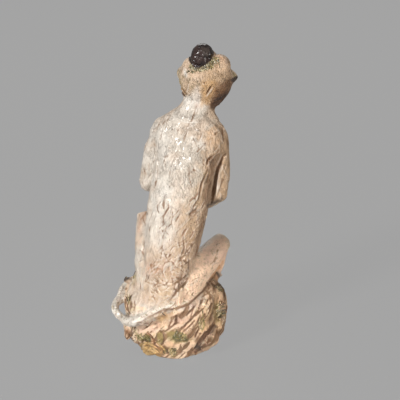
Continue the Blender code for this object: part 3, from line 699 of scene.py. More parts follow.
flankMarks = (
    (((205.6, 146), (206.9, 157.4), (207.5, 163.8)), 1.0, 0.9, 0.5, 0.4),
    (((208.2, 168.9), (205.6, 175.3), (201.8, 182.9), (199.9, 192.5), (198, 200), (194.3, 206.4)), 1.1, 1.7,
     1.5, 0.7),
    (((213, 156.5), (210, 158.2), (207.6, 161), (206.9, 163.8)), 1.2, 1.5, 1.3, 0.7),
    (((210, 168), (208.3, 176), (206.5, 186)), 1.0, 1.0, 0.9, 0.6),
    (((197.6, 207.7), (190.3, 213.8)), 0.9, 0.9, 0.8, 0.5),
    (((199.5, 211), (193.5, 216.5)), 0.9, 0.9, 0.8, 0.5),
    (((200.5, 217), (194, 225)), 0.9, 0.8, 0.8, 0.5),
    (((186.9, 228.5), (182.9, 232.5)), 0.9, 1.0, 1.1, 0.4),
    (((184.3, 232), (182, 236)), 0.8, 0.8, 1.0, 0.4),
    (((188.3, 243.2), (193.6, 245.9)), 1.4, 1.0, 1.2, 0.3),
    (((184, 247), (182.9, 252.5)), 0.9, 0.9, 1.1, 0.4),
    (((188.6, 258), (188.9, 268.7)), 1.1, 1.2, 1.1, 0.4),
    (((188.9, 273.4), (180.9, 279.4), (171.5, 286)), 1.0, 1.3, 1.2, 0.4),
    (((190.3, 275.4), (184.9, 283.4), (176.9, 291.5), (170.2, 300)), 1.2, 1.8, 1.6, 0.5),
    (((195.2, 254.5), (200.3, 256)), 1.0, 1.0, 1.5, 0.2),
    (((193.7, 292.4), (191.4, 295.8)), 0.9, 1.0, 1.3, 0.7),
    (((188.5, 291.2), (186.2, 295.3)), 0.9, 0.9, 1.0, 0.5),
    (((205.5, 274.5), (203.8, 276.8)), 0.8, 0.8, 1.2, 0.4),
)
armMarks = (
    (((226.6, 153.6), (222.8, 157.4), (220.3, 163.8), (217.1, 171.4), (215.8, 176.5), (214.5, 186),
      (211.5, 203)),
     1.7, 4.2, 2.4, 0.4),
    (((156.5, 148.5), (157.3, 160.6), (157, 173.3), (155.6, 182), (154, 191)), 1.3, 2.2, 0.9, 0.4),
    (((155.2, 181), (155, 184)), 1.0, 1.2, 1.6, 0.3),
    (((153.3, 170), (149.5, 177), (146.3, 182.3)), 1.0, 1.0, 0.7, 0.5),
    (((152.7, 141.5), (155, 146), (156.5, 150)), 1.2, 1.0, 0.7, 0.3),
    (((223, 179.5), (224, 181.5)), 0.9, 0.9, 1.6, 0.3),
    (((147.7, 213), (146, 232.5), (143.4, 248.6), (140, 262), (139, 270)), 1.1, 1.5, 0.8, 0.4),
)
headMarks = (
    (((212.3, 85.5), (208.8, 90.4), (206, 95.3)), 1.0, 2.2, 2.2, 0.5),
    (((201.3, 81.9), (204.1, 83.4), (207.9, 81.4)), 0.9, 1.1, 1.3, 0.6),
    (((193.2, 81.2), (194, 81.6)), 0.9, 0.8, 1.2, 0.5),
    (((188.2, 83.2), (188.8, 83.6)), 0.8, 0.7, 1.0, 0.4),
    (((212.5, 77.4), (213.3, 77)), 0.8, 0.6, 0.9, 0.3),
    (((180.5, 78.6), (184, 82.5), (187.6, 85.7)), 0.8, 0.7, 0.7, 0.4),
    (((182.6, 76.8), (186.2, 81.5)), 0.7, 0.6, 0.6, 0.4),
    (((200.5, 100.5), (200, 102.3)), 0.8, 0.7, 1.0, 0.3),
)
ridges = (
    (((175.6, 118.2), (185.2, 122), (190.9, 122.6), (201.8, 122)), 0.8, -0.7),
    (((166, 131.3), (173.7, 128), (178.8, 125.5)), 0.8, -0.6),
    (((195.4, 128), (199.9, 133.2)), 0.8, -0.6),
    (((164.8, 151), (167.3, 156.8)), 0.8, -0.7),
    (((171.2, 166.3), (177.5, 170.2)), 0.8, -0.7),
    (((188, 183.5), (191.5, 184.8)), 1.2, -1.0),
    (((221.5, 153), (217.7, 167)), 0.9, -0.8),
    (((164.5, 270.5), (166, 266), (170, 264), (172.5, 267), (170.5, 271)), 1.4, -1.0),
    (((213.8, 86.8), (209.8, 91.8), (205.5, 97.5)), 0.9, -0.8),
    (((193.2, 101.2), (189, 110.7)), 0.7, -0.5),
    (((172.5, 298.7), (177, 295.8)), 0.9, -0.7),
    (((181.5, 304), (186, 302.3)), 0.9, -0.9),
    (((193, 57.8), (196, 57.6), (199, 58.8)), 0.8, -0.9),
    (((197, 45.6), (199.5, 43.9), (202, 43.8)), 0.9, -0.9),
    (((202.5, 48.5), (204.2, 52), (204, 56)), 1.1, -0.8),
    (((169, 321), (176, 317.5)), 1.3, -1.0),
    (((187.4, 337.7), (192.6, 333.7)), 1.0, -0.9),
    (((194.9, 340.6), (197.7, 334.9)), 1.0, -0.9),
    (((152.3, 317.4), (155.6, 321.5)), 0.9, -0.7),
    (((131.5, 332.3), (134, 337), (136.5, 341.4)), 1.0, -1.0),
)
rockMarks = (
    (((142, 348.2), (146.5, 351), (152.7, 353), (157, 354)), 0.8, 0.8, 1.6, 0.6),
    (((143.5, 345.8), (150, 347.3), (155.5, 350.5)), 0.7, 0.4, 0.8, 0.6),
    (((139, 347), (141.5, 343.7), (147, 342.6), (154, 344), (160, 348), (162.5, 353)), 0.9, 1.2, 1.6, 0.4),
    (((156.2, 337), (157.5, 333), (160.5, 331), (163.8, 333), (164.4, 339), (163, 344), (160, 345.5)), 0.8,
     1.0, 1.5, 0.4),
    (((160.2, 334.5), (160.6, 338), (160.2, 342)), 0.7, 0.5, 1.2, 0.5),
    # The groove along the foot of the tail and thigh: its brown floor is partly painted shadow.
    (((135.7, 324), (142.3, 321), (146.5, 317.6), (152.7, 315.3), (158.9, 312), (165.1, 309.4),
      (173.6, 309.6), (182.2, 306.4), (190.3, 302.6), (197.1, 296.2), (202.9, 290.8), (209.8, 281.2),
      (216.5, 272.7)), 1.3, 2.0, 1.7, 0.2),
    (((197.1, 303.9), (186.2, 315.4)), 1.0, 1.2, 1.2, 0.5),
    (((196, 311.9), (190.3, 320.5), (182.2, 327.4)), 1.0, 1.3, 1.2, 0.5),
    (((165, 331.4), (170.7, 327.4), (175.9, 322.8), (176.5, 315.9)), 1.0, 1.3, 1.3, 0.6),
    (((214.4, 324.5), (209.8, 330.8), (205.2, 333.7), (201.7, 338.3), (197.7, 344.6), (195.5, 347)), 1.4,
     3.0, 2.6, 0.5),
    (((220.1, 301), (225.3, 303.9)), 1.0, 1.3, 1.5, 0.4),
    (((213.9, 296), (214.4, 304.5)), 0.9, 1.2, 1.6, 0.6),
    (((193.1, 346.9), (188, 352.7)), 1.0, 1.3, 1.5, 0.5),
    (((131.8, 295), (130, 299.8)), 1.3, 2.5, 2.8, 0.3),
    (((125.2, 296), (125.6, 303.5)), 0.9, 1.0, 1.3, 0.3),
    (((125.3, 308.5), (125.5, 312)), 1.0, 1.2, 1.8, 0.3),
    (((130.5, 302), (131, 306)), 0.9, 1.0, 1.0, 0.5),
    (((134.7, 300), (134.8, 305.5)), 0.9, 1.0, 1.0, 0.5),
    (((128.5, 306.5), (128.8, 311.5)), 0.9, 1.0, 1.1, 0.5),
    (((141, 283), (140, 292)), 0.9, 1.0, 1.0, 0.5),
    (((214.5, 309), (220, 304.5)), 0.9, 1.0, 1.6, 0.4),
    (((214, 313), (221, 309.5)), 0.9, 1.0, 1.6, 0.4),
    (((215.5, 318.5), (220.5, 313.5)), 0.9, 1.0, 1.6, 0.4),
    (((216, 306), (218.5, 313), (217.5, 319)), 0.9, 1.0, 1.6, 0.4),
    (((146, 333.5), (149, 337)), 0.9, 1.0, 1.4, 0.4),
    (((169, 335), (163, 341), (161, 346)), 1.0, 1.2, 1.2, 0.5),
    (((207.5, 339), (209, 341), (210.3, 339.6)), 0.7, 0.8, 1.8, 0.3),
)
muzzleMarks = (
    (((194, 55.5), (196.5, 56.2), (198.5, 54.8)), 0.9, 1.3, 0.0, 0.9),
    (((193.2, 60.3), (195.6, 60.8), (198, 59.8)), 0.9, 1.3, 0.0, 0.9),
    (((198, 47.3), (201.5, 46.2), (205, 47.5)), 0.8, 1.0, 0.0, 0.9),
    (((200.3, 50.5), (201, 56), (200, 61)), 0.9, 1.0, 0.0, 0.7),
    (((208, 50), (209.5, 54), (208.5, 58.5)), 0.8, 0.8, 0.0, 0.7),
    (((194.6, 63.8), (197, 65.8), (200, 65.2)), 0.8, 1.0, 0.0, 0.7),
)

muzzlePlan = {
    "aside": 3.5 * mm, "reach": 32 * mm, "oval": (11.8 * mm, 11.8 * mm, 14 * mm),
    "outline": ((192, 46), (201, 40), (209, 42), (213.4, 48), (214, 54), (212, 59.5), (206.5, 64.5),
                (200, 68), (195.5, 68.5), (191.5, 65), (189, 60), (189, 52)),
    "edge": 0.6,
    "fade": (1.22, 1.1),  # from no dark glaze to full, as shares of the oval
}

# Areas of another glaze, and of painted shade and reflection where noted: tone, outline on the photograph,
# softness of its edge in pixels, strength.
patches = (
    # Tan on the right flank: partly glaze, partly painted shade of the side turned from the key lamp.
    ("tan", ((205, 138), (206.5, 150), (207.5, 165), (204, 178), (200.5, 190), (197, 202), (192, 212),
             (188, 225), (185, 240), (184, 256), (188, 268), (196, 258), (198, 246), (200, 234), (206, 222),
             (209, 210), (214, 200), (216, 180), (222, 160), (228, 150), (222, 140), (213, 134)), 7.0, 0.8),
    # Painted shade in the hollow of the armpit.
    ("brown", ((208, 157), (214, 154), (222, 152), (226, 154), (221, 163), (217, 172), (215.5, 180),
               (214, 190), (212, 203), (207, 207), (204, 205), (206, 192), (209, 180), (210, 168)), 2.2,
               0.42),
    # Tan over the right shoulder and arm: partly glaze, partly painted shade.
    ("tan", ((203, 137), (210, 128), (222, 124), (230, 135), (233, 150), (232, 170), (229, 190), (223, 205),
             (214, 201), (217, 180), (222, 165), (227, 153), (220, 146), (210, 142)), 5.0, 0.85),
    # Painted shade along the right edge of the waist.
    ("brown", ((205, 206), (208.5, 211), (206, 222), (202, 232), (199, 244), (196.5, 256), (192, 262),
               (190, 256), (194, 240), (198, 226), (202, 214)), 1.8, 0.4),
    ("peach", ((194, 262), (203, 250), (213, 240), (226, 238), (229, 250), (226, 262), (216, 276),
               (204, 292), (190, 303), (176, 308), (178, 299), (188, 285), (192, 272)), 2.5, 0.9),
    ("rust", ((222, 257), (226, 256), (220, 272), (210, 284), (206, 286), (213, 273)), 1.5, 0.2),
    ("pink", ((148, 262), (172, 257), (188, 264), (190, 275), (176, 286), (158, 284), (148, 276)), 5.0,
     0.3),
    # Painted shade on the lower right of the head.
    ("ochre", ((206, 76), (220, 74), (232, 82), (228, 96), (214, 100), (206, 96)), 4.0, 0.4),
    # Tan over the head's right half: partly glaze, partly painted shade.
    ("tan", ((200, 80), (208, 70), (214, 52), (224, 53), (231, 66), (234, 84), (228, 100), (213, 108),
             (203, 106), (200, 92)), 5.0, 0.85),
    ("amber", ((200.5, 82), (208, 79), (216, 84), (214, 96), (208, 106), (201, 104)), 2.5, 0.7),
    # Painted shade under the head's right side, darkest along its lower edge.
    ("brown", ((211, 100), (216, 92), (221, 86), (233, 79), (235, 92), (231, 102), (220, 110), (210, 109)),
     2.4, 0.85),
    ("umber", ((211, 101), (217, 98), (223, 92), (233, 88), (234, 96), (229, 104), (220, 110), (210, 109)),
     1.6, 0.9),
    ("ochre", ((176, 76), (188, 78), (200, 80), (204, 70), (214, 66), (224, 74), (232, 80), (230, 94),
               (214, 100), (204, 96), (196, 88), (190, 96), (182, 96), (176, 86)), 3.0, 0.42),
    ("flecked", ((106, 300), (112, 292), (120, 284), (126, 284), (130, 296), (124, 304), (136, 312),
                 (160, 306), (178, 300), (190, 294), (200, 288), (204, 292), (190, 302), (170, 310),
                 (150, 318), (134, 326), (116, 324), (106, 312)), 1.5, 0.75),
    ("pink", ((206, 250), (214, 238), (222, 236), (227, 242), (226, 256), (214, 264), (204, 266)), 3.0,
     0.4),
    ("tan", ((150, 215), (180, 205), (196, 222), (194, 262), (184, 292), (160, 302), (146, 296),
             (142, 250)), 9.0, 0.2),
    ("flecked", ((176, 68), (190, 70), (204, 80), (200, 86), (190, 92), (180, 92)), 3.0, 0.7),
    ("flecked", ((198, 256), (212, 240), (226, 238), (229, 252), (214, 278), (190, 300), (180, 300)), 3.0,
     0.4),
    ("white", ((184, 100), (190, 93), (197, 86), (202.5, 84), (203, 92), (202, 104), (186, 106)), 2.5,
     0.55),
    # Painted shade on the right arm.
    ("ochre", ((218, 160), (226, 150), (232, 160), (230, 188), (222, 205), (212, 201)), 3.0, 0.3),
    # Painted shade over the rump and low back.
    ("ochre", ((190, 262), (180, 282), (168, 300), (150, 300), (150, 280), (160, 268), (178, 262)), 9.0,
     0.65),
    # Olive of the fringe under the muzzle, partly painted shade beneath it.
    ("olive", ((189, 64), (193, 70.5), (203, 71.5), (211, 67.5), (217.5, 59), (213, 57.5), (205, 65),
               (196, 67.5)), 1.4, 0.45),
    # Painted shade under the head's right side.
    ("brown", ((209, 105), (212, 97), (218, 88), (226, 80), (234, 78), (235, 92), (231, 102), (220, 110)),
     2.4, 0.7),
    ("tan", ((182, 190), (198, 186), (196, 214), (190, 232), (184, 250), (176, 262), (172, 240),
             (176, 218)), 8.0, 0.4),
    # Painted shade down the right of the back and waist.
    ("ochre", ((150, 262), (190, 250), (204, 200), (208, 160), (216, 150), (200, 150), (188, 200),
               (172, 240)), 6.0, 0.35),
    ("olive", ((231.5, 71), (234, 73), (237, 77), (234, 77.8)), 0.7, 0.8),
    ("black", ((230.5, 80), (233.8, 77), (240, 75.5), (240, 81.5), (234, 83.5)), 0.6, 0.95),
    ("tan", ((186, 56), (212, 60), (216, 74), (206, 90), (192, 96), (178, 94), (176, 70)), 4.0, 0.6),
    ("olive", ((176, 68), (180.5, 70), (181.5, 82), (184, 90), (178, 92), (175, 80)), 1.6, 0.35),
    # Painted reflection: a warm grey-brown sheen on the top of the muzzle.
    ("muzzleBrown", ((202, 46.5), (207.5, 46.5), (210, 51), (208, 56.5), (203.5, 56), (201, 51)), 1.2,
     0.75),
    ("tan", ((186, 308), (198, 300), (206, 290), (224, 290), (227, 310), (224, 330), (210, 348), (170, 358),
             (150, 352), (142, 330), (160, 318)), 4.0, 0.35),
    ("olive", ((214, 303), (223, 305), (224, 314), (220, 321), (214, 321), (211, 312)), 2.0, 0.8),
    ("olive", ((165, 331), (175, 331), (187, 334), (187, 341), (176, 343), (168, 339)), 1.6, 0.75),
    ("green", ((173.5, 335.5), (184, 335), (185, 340.5), (178, 342), (173, 339.5)), 0.9, 0.85),
    ("green", ((144, 335.5), (151, 337), (151.5, 341.5), (146, 342), (143, 338.5)), 0.9, 0.9),
    ("olive", ((138, 334), (143.8, 337), (142.8, 341.5), (137.5, 339.5)), 0.9, 0.85),
    ("olive", ((198.4, 318.5), (203, 317.5), (205.4, 322), (204.8, 328), (202, 331), (199, 328)), 0.9,
     0.55),
    ("gold", ((138.5, 345), (142, 342.8), (147, 342.4), (153, 343.6), (159, 347), (162.5, 352),
              (160, 356.5), (151, 357.5), (143.5, 353)), 1.2, 0.85),
    ("olive", ((156.8, 333.5), (160.5, 331.5), (163.6, 334), (163.8, 341), (160.5, 344.2), (157, 342)), 0.8,
     0.8),
    ("black", ((120, 270), (128, 270), (130.5, 274), (129.5, 279), (126, 281.5), (120.5, 280)), 0.7, 0.95),
    ("black", ((193.3, 347.5), (197.2, 346.3), (203, 347.4), (201, 350), (196, 350.5)), 0.9, 0.8),
    ("grey", ((201.7, 344), (206, 333), (213, 330.5), (216, 334), (213, 343), (205, 347.5)), 1.5, 0.8),
    ("brown", ((207.8, 337.6), (211.4, 337.4), (212, 341.5), (208.6, 342.3)), 0.7, 0.9),
    # Painted shade in the crevice on the boulder's right.
    ("umber", ((213, 323.5), (216.5, 326), (212.5, 332), (207.5, 336), (203, 341.5), (199, 347.5),
               (195.5, 347.5), (199, 340), (204, 333), (209, 328.5)), 0.9, 0.85),
    ("pink", ((148, 320), (160, 322), (158, 333), (140, 333), (138, 325)), 2.5, 0.7),
    ("amber", ((158, 312.5), (167, 310.5), (169, 317), (162, 322), (157, 318.5)), 1.5, 0.7),
    # Painted shade on the boulder's right side, turned from the key lamp.
    ("brown", ((209, 286), (216, 276), (226, 284), (229, 305), (226, 325), (218, 322), (211, 330),
               (206, 322), (209, 308), (212, 296)), 3.0, 0.25),
    ("ochre", ((209, 286), (216, 276), (226, 284), (229, 305), (226, 325), (218, 322), (211, 330),
               (206, 322), (209, 308), (212, 296)), 3.0, 0.45),
    ("amber", ((206, 282), (216, 276), (226, 284), (229, 305), (226, 328), (216, 340), (204, 346),
               (200, 330), (206, 310)),
     4.0, 0.4),
    ("amber", ((192, 318), (206, 306), (212, 318), (204, 332), (190, 344), (182, 340)), 4.0, 0.35),
    ("pink", ((166, 322), (184, 308), (196, 300), (200, 306), (186, 322), (172, 334)), 3.0, 0.4),
    ("white", ((108, 300), (118, 296), (126, 312), (150, 309), (178, 304), (178, 308), (150, 316),
               (134, 327), (116, 324), (108, 312)), 1.5, 0.55),
    ("tan", ((150, 246), (186, 236), (192, 250), (188, 280), (170, 300), (150, 300), (143, 270)), 9.0, 0.4),
    # Partly painted light on the left of the back, which faces the key lamp; partly glaze.
    ("white", ((156, 176), (174, 176), (178, 230), (164, 252), (150, 244), (150, 212)), 7.0, 0.5),
)

# Washes of thin glaze, and of painted shade, shadow and highlight where noted: tone, places on the
# photograph, radius in millimetres, strength.
washes = (
    # Tan on the right flank and arm is partly glaze, partly painted shade; the browns and blacks after it
    # are painted shade down the flank by the arm, on the outer shoulder, under the elbow and forearm and
    # along the waist.
    ("tan", ((208, 158), (206, 175), (202, 190), (199, 205)), 5.5, 0.75),
    ("brown", ((212, 160), (211, 172), (208, 184), (205, 196)), 4.5, 0.55),
    ("brown", ((227, 141.5), (229.8, 147.8)), 3.0, 0.6),
    ("tan", ((222, 130), (227, 150), (227, 170), (223, 192)), 7.0, 0.8),
    ("black", ((207, 206), (212, 203.5), (222, 199)), 2.0, 0.75),
    ("black", ((208.4, 211.7), (206.5, 219), (204.3, 224.5)), 2.2, 0.6),
    ("brown", ((203, 226), (198.5, 236), (196.5, 246), (196, 255)), 3.2, 0.6),
    ("tan", ((190, 222), (190, 245), (184, 262), (178, 278)), 8.0, 0.5),
    ("tan", ((222, 240), (210, 262), (195, 280), (180, 298)), 9.0, 0.6),
    ("rust", ((222.4, 262), (217.7, 270), (210, 278)), 2.4, 0.7),
    ("rust", ((145, 212.5), (141, 222), (138.5, 231)), 4.0, 0.4),
    ("pink", ((150, 268), (162, 275), (172, 270)), 10.0, 0.4),
    ("rust", ((148, 269.3), (152.1, 265.3)), 1.5, 0.4),
    ("rust", ((155.5, 272.7), (158.8, 268.7), (162.2, 269.3)), 1.5, 0.4),
    # Partly painted light on the left of the back, which faces the key lamp; partly glaze.
    ("white", ((165, 135), (170, 165), (185, 195)), 9.0, 0.35),
    # Tan, browns and black on the head's right side: painted shade, darkest along its lower edge; the tan
    # is partly glaze.
    ("tan", ((212, 68), (222, 80), (214, 90)), 9.0, 0.65),
    ("brown", ((218, 86), (227, 84)), 5.5, 0.6),
    ("brown", ((213, 97), (219, 92)), 5.0, 0.6),
    ("black", ((216, 99.5), (221, 98), (226, 95)), 2.0, 0.75),
    ("rust", ((220, 56), (227, 62)), 3.5, 0.3),
    ("brown", ((229.6, 70.6),), 1.6, 0.9),
    ("brown", ((181.6, 70.6),), 1.5, 0.6),
    ("olive", ((179, 74), (179.5, 84)), 2.2, 0.4),
    ("brown", ((182, 89), (185.8, 91)), 1.1, 0.7),
    ("brown", ((183, 92.5), (186, 94)), 1.1, 0.8),
    # Painted highlight on the bulge at the left of the head.
    ("white", ((185.2, 71), (185.6, 75)), 2.4, 0.9),
    ("pink", ((198.5, 88), (198, 98), (197, 106)), 3.0, 0.45),
    ("black", ((233.5, 79.8), (236.8, 78.2)), 1.6, 1.0),
    ("brown", ((122.5, 325), (126, 331), (129.5, 334.5)), 2.6, 0.85),
    ("rust", ((127, 331), (130.5, 335)), 2.0, 0.7),
    ("rust", ((131.5, 339), (133.5, 343)), 2.2, 0.8),
    ("olive", ((132.6, 328.2),), 1.4, 0.9),
    ("olive", ((135.5, 331), (139, 337), (141.5, 339)), 2.0, 0.75),
    ("green", ((145, 337), (149.5, 340.5)), 2.5, 0.95),
    ("green", ((176, 336.5), (179, 338.5), (184.5, 339)), 2.6, 0.95),
    ("olive", ((174, 335.5), (186, 341)), 4.0, 0.6),
    ("tan", ((150, 316), (172, 320)), 7.0, 0.5),
    ("olive", ((214.5, 287), (221.5, 290)), 2.6, 0.7),
    # Painted shade under the right knee.
    ("black", ((217, 272.5), (219.6, 276.5), (221.9, 283.2)), 1.6, 0.8),
    ("rust", ((215.8, 277), (217.5, 282)), 2.2, 0.65),
    ("olive", ((216, 306), (219, 312), (218, 319)), 4.5, 0.85),
    ("brown", ((215, 308), (217, 317)), 3.5, 0.5),
    ("grey", ((203.5, 343), (208, 337.5), (213.5, 334)), 3.6, 0.9),
    ("brown", ((215, 331), (218, 333)), 2.4, 0.6),
    ("black", ((196.5, 346), (201, 347.5)), 1.8, 0.85),
    ("umber", ((165.2, 351), (167.5, 352.5)), 1.8, 0.95),
    ("olive", ((170.5, 349.5), (173, 354.5)), 2.6, 0.9),
    ("rust", ((196, 349.5), (196, 356)), 1.3, 1.0),
    # Painted shade under the thigh, where it meets the boulder.
    ("brown", ((203, 296), (209, 285)), 3.0, 0.35),
    ("olive", ((128, 297), (130, 301)), 1.8, 0.7),
    ("olive", ((136, 275), (133, 284)), 2.2, 0.5),
    ("brown", ((205, 325), (210, 317), (213, 322)), 3.0, 0.5),
    ("pink", ((176, 322), (190, 312), (186, 328)), 7.0, 0.5),
    ("white", ((113, 310), (122, 318), (135, 318)), 4.0, 0.4),
    # Painted shadow under the tail, thigh and right knee, along the line where they meet the boulder.
    ("umber", ((136, 325.5), (146.5, 319), (158.9, 313), (173.6, 310)), 1.0, 0.6),
    ("umber", ((182.2, 307), (190.3, 303), (197.1, 297), (202.9, 291.5), (209.8, 282), (216.5, 273.5)), 1.3,
     0.65),
    ("umber", ((217, 272.5), (221.5, 284), (224.5, 296)), 1.6, 0.75),
    # Painted shade in the boulder's grooves and at the rump's edge.
    ("umber", ((176.5, 316), (175.9, 322.8), (170.7, 327.4), (165, 331.4)), 1.1, 0.6),
    ("umber", ((197.1, 303.9), (191, 310), (186.2, 315.4)), 1.0, 0.6),
    ("umber", ((196, 311.9), (190.3, 320.5), (182.2, 327.4)), 1.2, 0.65),
    ("umber", ((188.9, 262), (188.6, 272), (180.9, 282), (174, 293), (169, 301)), 1.5, 0.55),
    ("umber", ((200.5, 318), (196, 326), (189, 334), (187, 344)), 1.2, 0.6),
    ("umber", ((212, 296), (213.5, 304), (212, 314), (209, 322)), 1.6, 0.6),
    ("rust", ((152, 341), (156, 346), (160, 352)), 2.2, 0.6),
)


def workTheClay():
    onRock = stony > 0.5
    homes = {"rock": onRock & ~floorBand, "body": ~onRock & ~floorBand}
    ragged = 9 * layeredNoise(clay.points, 9 * mm, 61)
    for name, outline in strokeAreas.items():
        homes[name] = homes["body"] & (insideBy(clay.places, outline) + ragged > 0) & (clay.facing > 0.1)
    smooth = familyDistances.argmin(axis=1) == familyNames.index("head")
    for kind, count, long, wide, deep, scatter, part, *course in strokePlan:
        home = np.flatnonzero(homes[part])
        for _ in range(count):
            index = int(home[rng.integers(len(home))])
            if smooth[index] and rng.random() < 0.6:
                continue
            outward = clay.normals[index]
            flow = photoFlow(index, *course) if course else flowAt(index)
            way = turned(flow, outward, rng.normal(0, scatter))
            measures = [rng.uniform(*span) * mm for span in (long, wide, deep)]
            if kind == "smear":
                way = way if rng.random() < 0.65 else -way
                clay.smear(clay.points[index], way, outward, *measures, bend=rng.uniform(-0.3, 0.3))
            else:
                clay.stroke(clay.points[index], way, outward, *measures, bend=rng.uniform(-0.25, 0.25),
                            lip=rng.uniform(0.3, 0.6), lump=rng.uniform(0, 0.4))


workTheClay()
for group in (backMarks, flankMarks, armMarks, headMarks, ridges, rockMarks, muzzleMarks):
    for mark in group:
        clay.score(*mark)
for area in patches:
    clay.patch(*area)
for tone, places, radius, strength in washes:
    clay.wash(tone, places, radius, strength)
print("strokes, marks and washes done")

lumps = layeredNoise(clay.points, skinPlan["lumpSize"], 5) * skinPlan["lumps"]
clay.height = np.where(floorBand, 0, clay.height)
worked = clay.points + clay.normals * (clay.height + np.where(floorBand, 0, lumps))[:, None]
low, high = np.array(cadBox[0]) + skinPlan["margin"], np.array(cadBox[1]) - skinPlan["margin"]
worked = np.clip(worked, low, high)
setPoints(skinMesh, worked)
storeValues(skinMesh, "hollow", clay.hollow)
storeValues(skinMesh, "lip", clay.lip)
storeValues(skinMesh, "stony", stony)
# The muzzle's dark glaze: in an oval round the muzzle, ragged at its edge, and in its outline as seen.
ballCentre = np.array(skull + headAxes[0] * muzzlePlan["aside"] + headAxes[2] * muzzlePlan["reach"])
ballAway = (clay.points - ballCentre) @ np.array(headAxes).T / muzzlePlan["oval"]
ballAway = np.linalg.norm(ballAway, axis=1) + 0.05 * layeredNoise(clay.points, 3 * mm, 15)
dark = eased(*muzzlePlan["fade"], ballAway) * eased(0.2, -0.1, clay.facing)
clay.tones["muzzle"] = dark
clay.patch("muzzle", muzzlePlan["outline"], muzzlePlan["edge"], 1.0)

# Painted shade, partly a warmer glaze: the right side and the front, turned to the lens's right and away
# from the lens, are made warmer and darker, by the smoothed direction that the clay faces.
broadNormals = smoothed(clay.normals, skinEdges, skinPlan["broad"])
warmth = broadNormals @ np.array(seenRight) * 0.8 - broadNormals @ np.array(towardsCamera) * 0.35
warmth += 0.35 * layeredNoise(clay.points, 30 * mm, 7)
storeValues(skinMesh, "warmth", eased(-0.25, 0.75, warmth))
for tone, amount in clay.tones.items():
    storeValues(skinMesh, tone, amount)


# Colours of the glazes, and of the painted shade laid with some of them.
glazeAndShadeColours = {
    "flecked": (0.30, 0.225, 0.12), "peach": (0.92, 0.665, 0.48), "ochre": (0.42, 0.29, 0.17),
    "tan": (0.62, 0.41, 0.25), "brown": (0.20, 0.098, 0.044), "rust": (0.52, 0.24, 0.10),
    "pink": (0.60, 0.40, 0.31),
    "white": (0.82, 0.775, 0.705), "olive": (0.27, 0.21, 0.075), "green": (0.085, 0.082, 0.028),
    "amber": (0.62, 0.37, 0.165), "umber": (0.105, 0.048, 0.024),
    "grey": (0.36, 0.31, 0.24), "black": (0.035, 0.024, 0.022), "gold": (0.46, 0.30, 0.12),
    "muzzle": (0.016, 0.010, 0.010), "muzzleBrown": (0.055, 0.030, 0.025),
    "muzzleSheen": (0.075, 0.058, 0.050),
    "creamCool": (0.635, 0.56, 0.475), "creamWhite": (0.70, 0.64, 0.565), "buff": (0.62, 0.47, 0.35),
    # The warm cream is partly a warmer glaze, partly painted shade on the side turned away.
    "creamWarmAndShade": (0.60, 0.43, 0.29), "stone": (0.80, 0.55, 0.36), "stonePale": (0.85, 0.68, 0.51),
    "stoneOlive": (0.44, 0.33, 0.15), "lip": (0.80, 0.75, 0.68), "lipStone": (0.76, 0.63, 0.48),
    "deep": (0.25, 0.135, 0.068), "deepStone": (0.155, 0.066, 0.022),
}
# Cells a metre of the noise behind each surface effect.
grain = {
    "broken": 260, "cream": 55, "buff": 38, "stone": 60, "stoneOlive": 45, "creases": 135, "creasesIn": 110,
    "fineCreases": 300, "fineCreasesIn": 160, "pits": 640, "pitsIn": 90, "flecks": 330, "muzzle": 130,
    "ripples": 210, "fineRipples": 430, "muzzleLumps": 95, "satin": 220, "coat": 130,
}
upright = (1.25, 1.25, 0.6)  # stretch of the creases, longer up the figure
bumpHeight = 1.7 * mm
coat = {"weight": 0.24, "roughness": 0.12}


